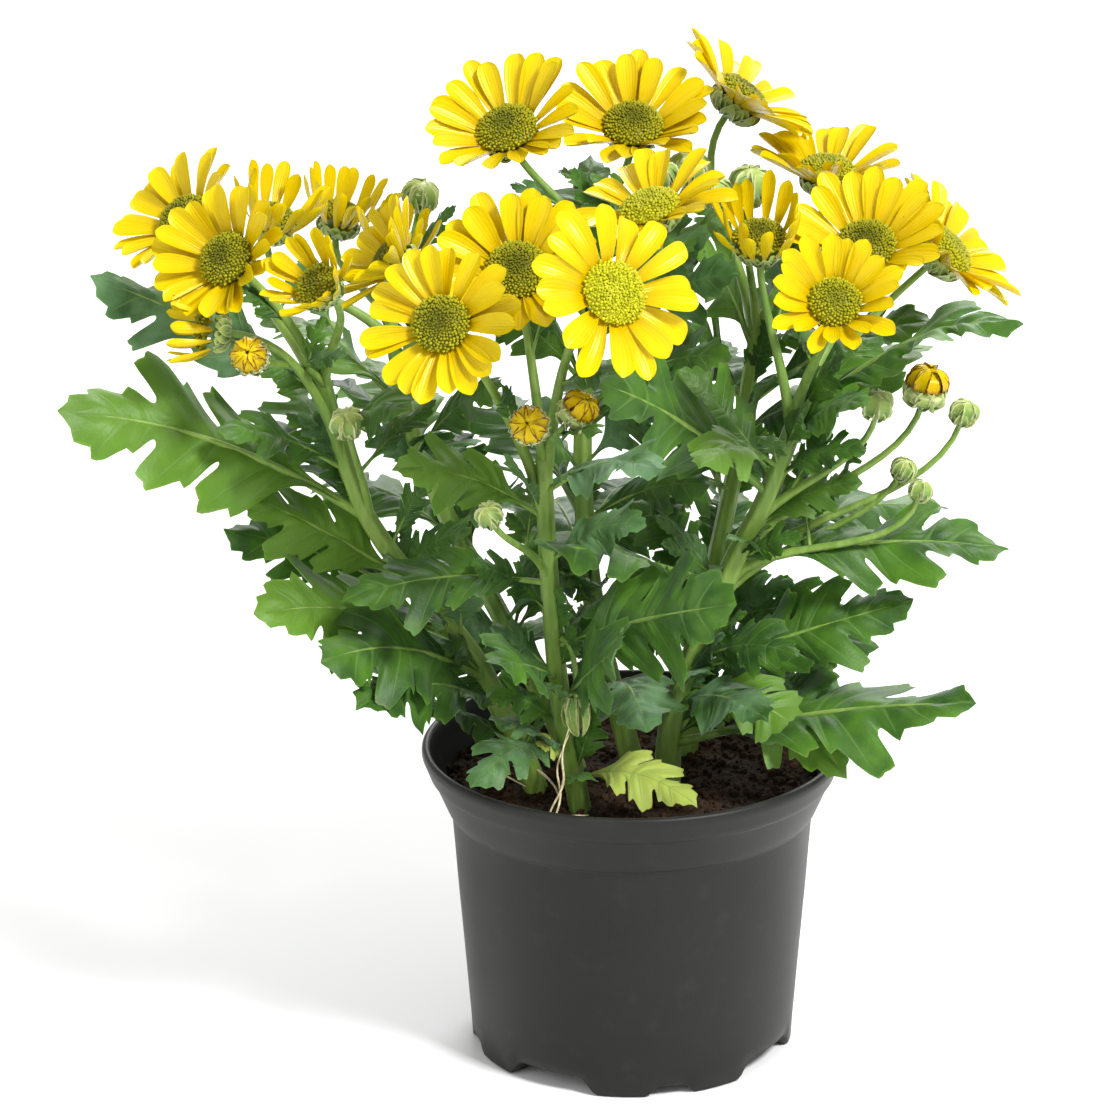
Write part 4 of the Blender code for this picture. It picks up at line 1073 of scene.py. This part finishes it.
bracts = {
    "bowlFoot": (0.0013, -0.0072), "bowl": ((0.45, -0.0062), (0.72, -0.0048), (0.80, -0.0034)),
    "cupRings": ((0.34, -0.0066, 0.52, 0.78), (0.52, -0.0056, 0.75, 0.60)),
    "openCore": ((0.25, -0.95), (0.72, -0.66), (0.92, -0.2), (0.74, 0.0)),
    "openRings": ((8, 0.30, -0.84, 0.45, 0.95, 0.95, -1.1), (9, 0.62, -0.62, 1.05, 0.80, 0.80, -0.9)),
    "closedCore": ((0.25, -0.92), (0.74, -0.55), (0.86, 0.0), (0.74, 0.5), (0.40, 0.82), (0.10, 0.9)),
    "closedRings": ((7, 0.30, -0.84, 0.55, 1.30, 1.05, -1.5), (7, 0.76, -0.40, 1.25, 1.60, 1.05, -1.5),
                    (6, 0.80, 0.0, 1.55, 1.30, 1.0, -1.6))}


def bloomCup(name, bloom, seed):
    # the green cup under a bloom, in two rings of bracts over a low bowl
    _, _, place, way, lean, reach, _, _ = bloom
    middle, size = headPlace(place, way, lean), discs["share"] * metres(reach)
    bowl = [bracts["bowlFoot"]] + [(radius * size, height) for radius, height in bracts["bowl"]]
    rings = [(15, root, height / size, tilt, length, 0.50, -0.7)
             for root, height, tilt, length in bracts["cupRings"]]
    return ([turnedPiece(name + "_bowl", bowl, 1.0, 24, stemGreen, middle)]
            + bladeRings(name + "_bracts", rings, size, middle, seed, bractGreen, -0.1, 0.6, 0.2))


def budHead(name, bud, seed):
    # a bud's green bracts, closed over it or round its first rays
    _, _, place, way, lean, radius, opening = bud
    middle, radius, state = headPlace(place, way, lean), metres(radius), "open" if opening else "closed"
    return ([turnedPiece(name + "_heart", bracts[state + "Core"], radius, 18, bractGreen, middle)]
            + bladeRings(name + "_bracts", bracts[state + "Rings"], radius, middle, seed, bractGreen,
                         -0.05, 0.4, 0.35))


def smallLeaf(base, tip, arch, face, wave, seed, tone):
    # a young leaf's blade with its tone, and its rib
    rib = spinePath(base, tip, arch, 0.6, 0.5, 6, 0.0003)
    thick = [growth["youngRib"] * (1.1 - k / 7) for k in range(7)]
    return (leafBlade(base, tip, arch, face, 0.8, wave, seed, "small"), tone), (rib, thick)


def leafyStem(stem):
    points, foot, top = metres(stems[stem])
    draw = random.Random(stem)
    path = smoothPath(points, 8)
    last = len(path) - 1
    thins, blades, parts = [], [], []

    def addSmallLeaf(*row):
        young, rib = smallLeaf(*row)
        blades.append(young)
        thins.append(rib)

    for index, (owner, height, tip, arch, face, width) in enumerate(leaves + fillLeaves):
        if owner != stem:
            continue
        height, tip = metres(height), metres(tip)
        base = stemPoint(stem, height)
        large = index < len(leaves)
        shape = leafBlade(base, tip, arch, face, width, index * 1.7, index, "fine" if large else "small")
        tone = growth["ageTone"] if index in yellowedLeaves else draw.random() * growth["toneSpan"]
        blades.append((shape, tone))
        thick, steps = (Vector(tip) - base).length * growth["petiole"], growth["ribSteps"]
        thins.append((spinePath(base, tip, arch, face, growth["ribEnd"], steps, growth["ribSink"]),
                      [thick * (1.25 - k / steps) for k in range(steps + 1)]))
        # one young leaf in the joint, and two low down
        for turn in range(large * (1 + (height < growth["lowJoint"]))):
            ahead = (Vector(tip) - base).normalized() * draw.uniform(0.2, 0.9)
            away = ahead + Vector((draw.uniform(-0.7, 0.7), draw.uniform(-0.9, 0.5), draw.uniform(0.3, 0.9)))
            end = base + away.normalized() * draw.uniform(*growth["youngLeaf"])
            addSmallLeaf(base, end, 0.08, draw.uniform(0.2, 1.1), draw.uniform(0, 6), index * 10 + turn,
                         draw.random() * growth["youngTone"])
    stalk = growth["stalk"]
    heads = [(name, row, growth["cupDepth"], stalk) for name, row in blooms.items() if row[0] == stem]
    heads += [(name, row, growth["budDepth"] * metres(row[5]), stalk * growth["budStalk"])
              for name, row in buds.items() if row[0] == stem]
    for name, (_, height, place, way, lean, *_), depth, radius in heads:
        axis = direction(way, lean)
        line = stalkPath(stem, metres(height), Vector(metres(place)) - axis * depth, axis, radius)
        thins.append(line)
        # a small leaf on each stalk that is long enough
        spot = line[0][draw.choice((5, 6, 7))]
        away = Vector((draw.uniform(-1, 1), draw.uniform(-1, 0.6), draw.uniform(0.3, 1.0))).normalized()
        tip = spot + away * growth["stalkLeaf"] * draw.uniform(0.6, 1.0)
        if (line[0][-1] - line[0][0]).length > growth["longStalk"]:
            addSmallLeaf(spot, tip, 0.06, draw.uniform(0.2, 1.0), draw.uniform(0, 6), name,
                         draw.random() * growth["stalkLeafTone"])
    for rows, head, first in ((blooms, bloomCup, 60), (buds, budHead, 90)):
        for seed, (name, row) in enumerate(rows.items(), first):
            if row[0] == stem:
                parts += head(name, row, seed)
    main = (path, [foot + (top - foot) * k / last for k in range(last + 1)])
    parts.append(ribbedRods(stem + "_main", [main], stemGreen, *growth["stemRods"]))
    parts.append(ribbedRods(stem + "_stalks", thins, stemGreen, *growth["stalkRods"]))
    parts.append(leavesObject(stem + "_leaves", blades))
    return fuse("greenStem_" + stem, parts)


print("leafy stems")
for stem in stems:
    finishPiece(leafyStem(stem), "green", "leafy_stem_" + stem)


# Pot

pot = {"columns": 192, "turn": math.radians(-31), "foot": 0.0460, "pocket": 0.0395, "flat": 0.0300,
       "wall": 0.0015, "middle": 0.0005, "tall": 0.0050, "low": 0.0030,
       "tallEdge": (18.5, 6.5), "lowEdge": (36.0, 4.5),  # where a notch's side ends or starts, and its width
       "drainRadius": 0.0035, "drainReach": 0.0370, "drillFoot": -0.002, "drillHeight": 0.0125}
# The sides from the rim down and from the floor up, as radius and height in millimetres.
outerSide = (
    (58.6, 90), (59.1, 90), (59.6, 89.7), (59.9, 89.2), (60, 88.6), (60, 88), (59.9, 87.5), (59.6, 86.8),
    (59.1, 85.5), (58.4, 83.7), (57.9, 82.4), (57.6, 82), (57.1, 81.7), (56.8, 81.1), (55.6, 78.3),
    (54, 74.5), (53, 72.2), (52.6, 71.5), (52, 71), (51.7, 70.5), (51.6, 70), (50.8, 60), (50.1, 50),
    (49.3, 40), (48.5, 30), (47.7, 20), (47.1, 12), (46.8, 8.5))
innerSide = (
    (44.8, 7), (45.2, 12), (47.6, 42), (50, 70.2), (52.6, 75.8), (55.3, 81.5), (56.8, 86.2), (57.5, 88.9),
    (58, 89.8))


def notchHeight(angle):
    # how far the foot's edge is off the ground, with slanting sides to each notch
    turn = angle % 90
    turn = min(turn, 90 - turn)
    (tallFrom, tallWidth), (lowFrom, lowWidth) = pot["tallEdge"], pot["lowEdge"]
    tall = min(1.0, max(0.0, (tallFrom - turn) / tallWidth))
    low = min(1.0, max(0.0, (turn - lowFrom) / lowWidth))
    return max(pot["tall"] * tall * tall * (3 - 2 * tall), pot["low"] * low * low * (3 - 2 * low))


def nurseryPot():
    columns, wall, middle = pot["columns"], pot["wall"], pot["middle"]
    angles = [360 * k / columns for k in range(columns)]
    # rows of the skin, down the outside and back up inside: radius, height, and whether notches lift it
    rows = [(radius, height, False) for radius, height in metres(outerSide)]
    rows += [(pot["foot"] + 0.0003, 0.0006, True), (pot["foot"] - 0.0004, 0.0, True),
             (pot["pocket"], 0.0, True), (pot["flat"], 0.0, False), (middle, 0.0, False),
             (middle, wall, False), (pot["flat"] - 0.0005, wall, False), (pot["pocket"], wall, True),
             (pot["foot"] - wall, wall, True)]
    rows += [(radius, height, False) for radius, height in metres(innerSide)]
    points = []
    for radius, height, lifted in rows:
        for angle in angles:
            turn = pot["turn"] + math.radians(angle)
            points.append((radius * math.sin(turn), -radius * math.cos(turn),
                           height + (notchHeight(angle) if lifted else 0.0)))
    faces = [tuple(k % len(points) for k in reversed(face))
             for face in ringFaces(len(rows) + 1, columns, ends=False)]
    whole = newObject("nurseryPot", meshFrom("nurseryPot", points, faces, potPlastic))
    for quarter in range(4):
        turn = pot["turn"] + quarter * math.pi / 2
        place = (pot["drainReach"] * math.sin(turn), -pot["drainReach"] * math.cos(turn), pot["drillFoot"])
        profile = ((pot["drainRadius"], 0.0), (pot["drainRadius"], pot["drillHeight"]))
        drill = turnedPiece("drainDrill", profile, 1.0, 24, potPlastic, Matrix.Translation(place))
        cut = whole.modifiers.new("drain", "BOOLEAN")
        cut.operation, cut.object, cut.solver = "DIFFERENCE", drill, "EXACT"
        makePlain(whole)
        bpy.data.objects.remove(drill, do_unlink=True)
    return whole


print("pot")
finishPiece(nurseryPot(), "pot", "pot")


# Soil

soil = {"top": 0.0784, "edgeDrop": 0.0012, "radius": 0.0534, "rings": 26, "columns": 72,
        "roughness": 0.0016, "fineness": 90,
        "below": ((0.0497, 0.0702), (0.0448, 0.0120), (0.0440, 0.0069), (0.0385, 0.0069), (0.0280, 0.0018)),
        "crumbs": {"Density": 190000.0, "Smallest": 0.0006, "Largest": 0.0034, "Seed": 5}}


def soilMesh():
    # a rough top in rings from the edge to the middle, then the sides and the foot, and how many faces are top
    rings, columns = soil["rings"], soil["columns"]
    points = []
    for ring in range(rings + 1):
        for x, y, _ in circlePoints(soil["radius"] * (1 - ring / rings), 0.0, columns):
            rough = noise.fractal(Vector((x, y, 0)) * soil["fineness"], 1.0, 2.0, 4) * soil["roughness"]
            points.append((x, y, soil["top"] + rough - (0 if ring else soil["edgeDrop"])))
    for radius, height in soil["below"]:
        points += circlePoints(radius, height, columns)
    faces = ringFaces(rings + 1, columns, ends=False)
    topFaces = len(faces)
    order = [0] + [rings + 1 + k for k in range(len(soil["below"]))]
    for one, two in zip(order, order[1:]):
        faces += [(two * columns + c, two * columns + (c + 1) % columns, one * columns + (c + 1) % columns,
                   one * columns + c) for c in range(columns)]
    faces.append(tuple(order[-1] * columns + c for c in reversed(range(columns))))
    return meshFrom("pottingSoil", points, faces, peat), topFaces


def crumbMesh():
    # a small uneven body with twenty faces
    draw = random.Random(11)
    phi = (1 + math.sqrt(5)) / 2
    signs = [(a, b) for a in (-1, 1) for b in (-1, 1)]
    corners = [(a, b * phi, 0) for a, b in signs] + [(0, a, b * phi) for a, b in signs]
    corners += [(b * phi, 0, a) for a, b in signs]
    points = [Vector(c) / 4 * draw.uniform(0.75, 1.2) for c in corners]
    faces = []
    spots = [Vector(c) for c in corners]
    for three in itertools.combinations(range(12), 3):
        one, two, last = (spots[k] for k in three)
        if all(abs((a - b).length - 2) < 0.01 for a, b in ((one, two), (two, last), (one, last))):
            outward = (two - one).cross(last - one).dot(one + two + last) > 0
            faces.append(three if outward else (three[0], three[2], three[1]))
    return meshFrom("crumb", points, faces, smooth=False)


print("soil")
wholeSoil, topFaces = soilMesh()
finishPiece(newObject("pottingSoil", wholeSoil), "soil", "soil")
surface = meshFrom("soilSurface", [tuple(v.co) for v in wholeSoil.vertices],
                   [tuple(p.vertices) for p in wholeSoil.polygons[:topFaces]])
crumb = newObject("crumb", crumbMesh())
finishPiece(grow("soilCrumbs", surface, scatter, {"Crumb": crumb, "Paint": peat, **soil["crumbs"]}), "soil")
bpy.data.objects.remove(crumb, do_unlink=True)


# Straw on the soil, and a spent bud

# Paths of the fibres, in millimetres.
strawPaths = (
    ((-16.5, -33, 110), (-19.2, -40, 102), (-19, -43, 94), (-22.5, -46, 87), (-24, -48, 80.5)),
    ((-17.2, -34, 106), (-20.6, -40, 98), (-19.8, -43, 91), (-21.2, -47, 86), (-25, -47, 80.5)),
    ((-34, 2, 81.5), (-28, -8, 85), (-22, -18, 83.5), (-20, -26, 81)),
    ((-45, -9, 81), (-38, -8, 83), (-30, -13, 81.2)),
    ((-12, -34, 81), (-20, -38, 82.2), (-31, -39, 81.2)),
    ((26, -38, 80.5), (32, -32, 82), (41, -29, 80.8)),
    ((8, 34, 81), (16, 38, 82.2), (26, 36, 81)))
fibreThickness = 0.00036
nodding = {"stem": "front", "fork": 0.132, "place": (-0.0155, -0.034, 0.1160), "radius": 0.0042,
           "leave": (0.006, -0.006, 0.006), "drop": 0.006, "stalk": 0.0008, "steps": 8,
           "rings": ((7, 0.35, 0.0, 0.95, 2.7, 0.85, -1.2), (6, 0.20, 0.0, 0.95, 3.1, 0.85, -1.2)),
           "layerStep": 0.1, "unevenness": 0.8}


def strawFibres():
    lines = []
    for path in strawPaths:
        path = smoothPath(metres(path), 6)
        last = len(path) - 1
        lines.append((path, [fibreThickness * (1.1 - 0.7 * abs(2 * k / last - 1)) for k in range(last + 1)]))
    return ribbedRods("strawFibres", lines, straw)


def noddingBud():
    # a spent bud that hangs on a bent stalk
    place, radius = Vector(nodding["place"]), nodding["radius"]
    start = stemPoint(nodding["stem"], nodding["fork"])
    path = bend(start, Vector(nodding["leave"]), Vector((0, 0, -nodding["drop"])), place, nodding["steps"])
    parts = [ribbedRods("nodding_stalk", [(path, [nodding["stalk"]] * len(path))], stemGreen)]
    hanging = Matrix.Translation(place) @ Matrix.Rotation(math.pi, 4, "X")
    for ring in nodding["rings"]:
        parts += bladeRings("nodding_bracts", [ring], radius, hanging, ring[0], bractGreen,
                            nodding["layerStep"], nodding["unevenness"])
    return fuse("noddingBud", parts)


print("straw")
finishPiece(strawFibres(), "soil")
finishPiece(noddingBud(), "green")


# Floor, lights and camera

lamps = {  # place, aim, watts, size
    "key": ((0.9, -0.9, 1.5), (0, 0, 0.16), 40.0, 0.4),
    "fill": ((-1.3, -1.2, 0.9), (0, 0, 0.15), 9.0, 1.4),
    "back": ((0.2, 1.4, 1.1), (0, 0, 0.2), 22.0, 1.0)}
worldLight = 0.62
# the camera that was fitted to the photo: degrees, and focus, image and middle in pixels
view = {"place": (0.0, -1.250, 0.572), "down": 18.6547, "focus": 4691.8, "image": 1120,
        "middle": (632.0, 541.9)}


def addFloor(half=6.0):
    pale, _, _ = newMaterial("pale floor", 0.9, Specular_IOR_Level=0.1, Base_Color=(0.90, 0.90, 0.90, 1))
    corners = [(-half, -half, 0), (half, -half, 0), (half, half, 0), (-half, half, 0)]
    newObject("floor", meshFrom("floor", corners, [(0, 1, 2, 3)], pale))


def addLamps():
    for name, (place, aim, watts, size) in lamps.items():
        light = bpy.data.lights.new(name, "AREA")
        light.energy, light.size = watts, size
        lamp = newObject(name, light)
        lamp.location = place
        lamp.rotation_euler = (Vector(place) - Vector(aim)).to_track_quat("Z", "Y").to_euler()
    world = bpy.context.scene.world or bpy.data.worlds.new("studio")
    bpy.context.scene.world = world
    world.use_nodes = True
    back = world.node_tree.nodes["Background"]
    back.inputs["Color"].default_value = (1.0, 1.0, 1.0, 1)
    back.inputs["Strength"].default_value = worldLight


def addCamera():
    data = bpy.data.cameras.new("view")
    data.sensor_width = 36.0
    data.lens = view["focus"] / view["image"] * data.sensor_width
    data.shift_x = (view["image"] / 2 - view["middle"][0]) / view["image"]
    data.shift_y = (view["middle"][1] - view["image"] / 2) / view["image"]
    camera = newObject("view", data)
    camera.location = view["place"]
    camera.rotation_euler = (math.radians(90 - view["down"]), 0, 0)
    bpy.context.scene.camera = camera


print("studio")
addFloor()
addLamps()
addCamera()
bpy.context.scene.view_settings.view_transform = "Standard"

for unused in [mesh for mesh in bpy.data.meshes if mesh.users == 0]:
    bpy.data.meshes.remove(unused)
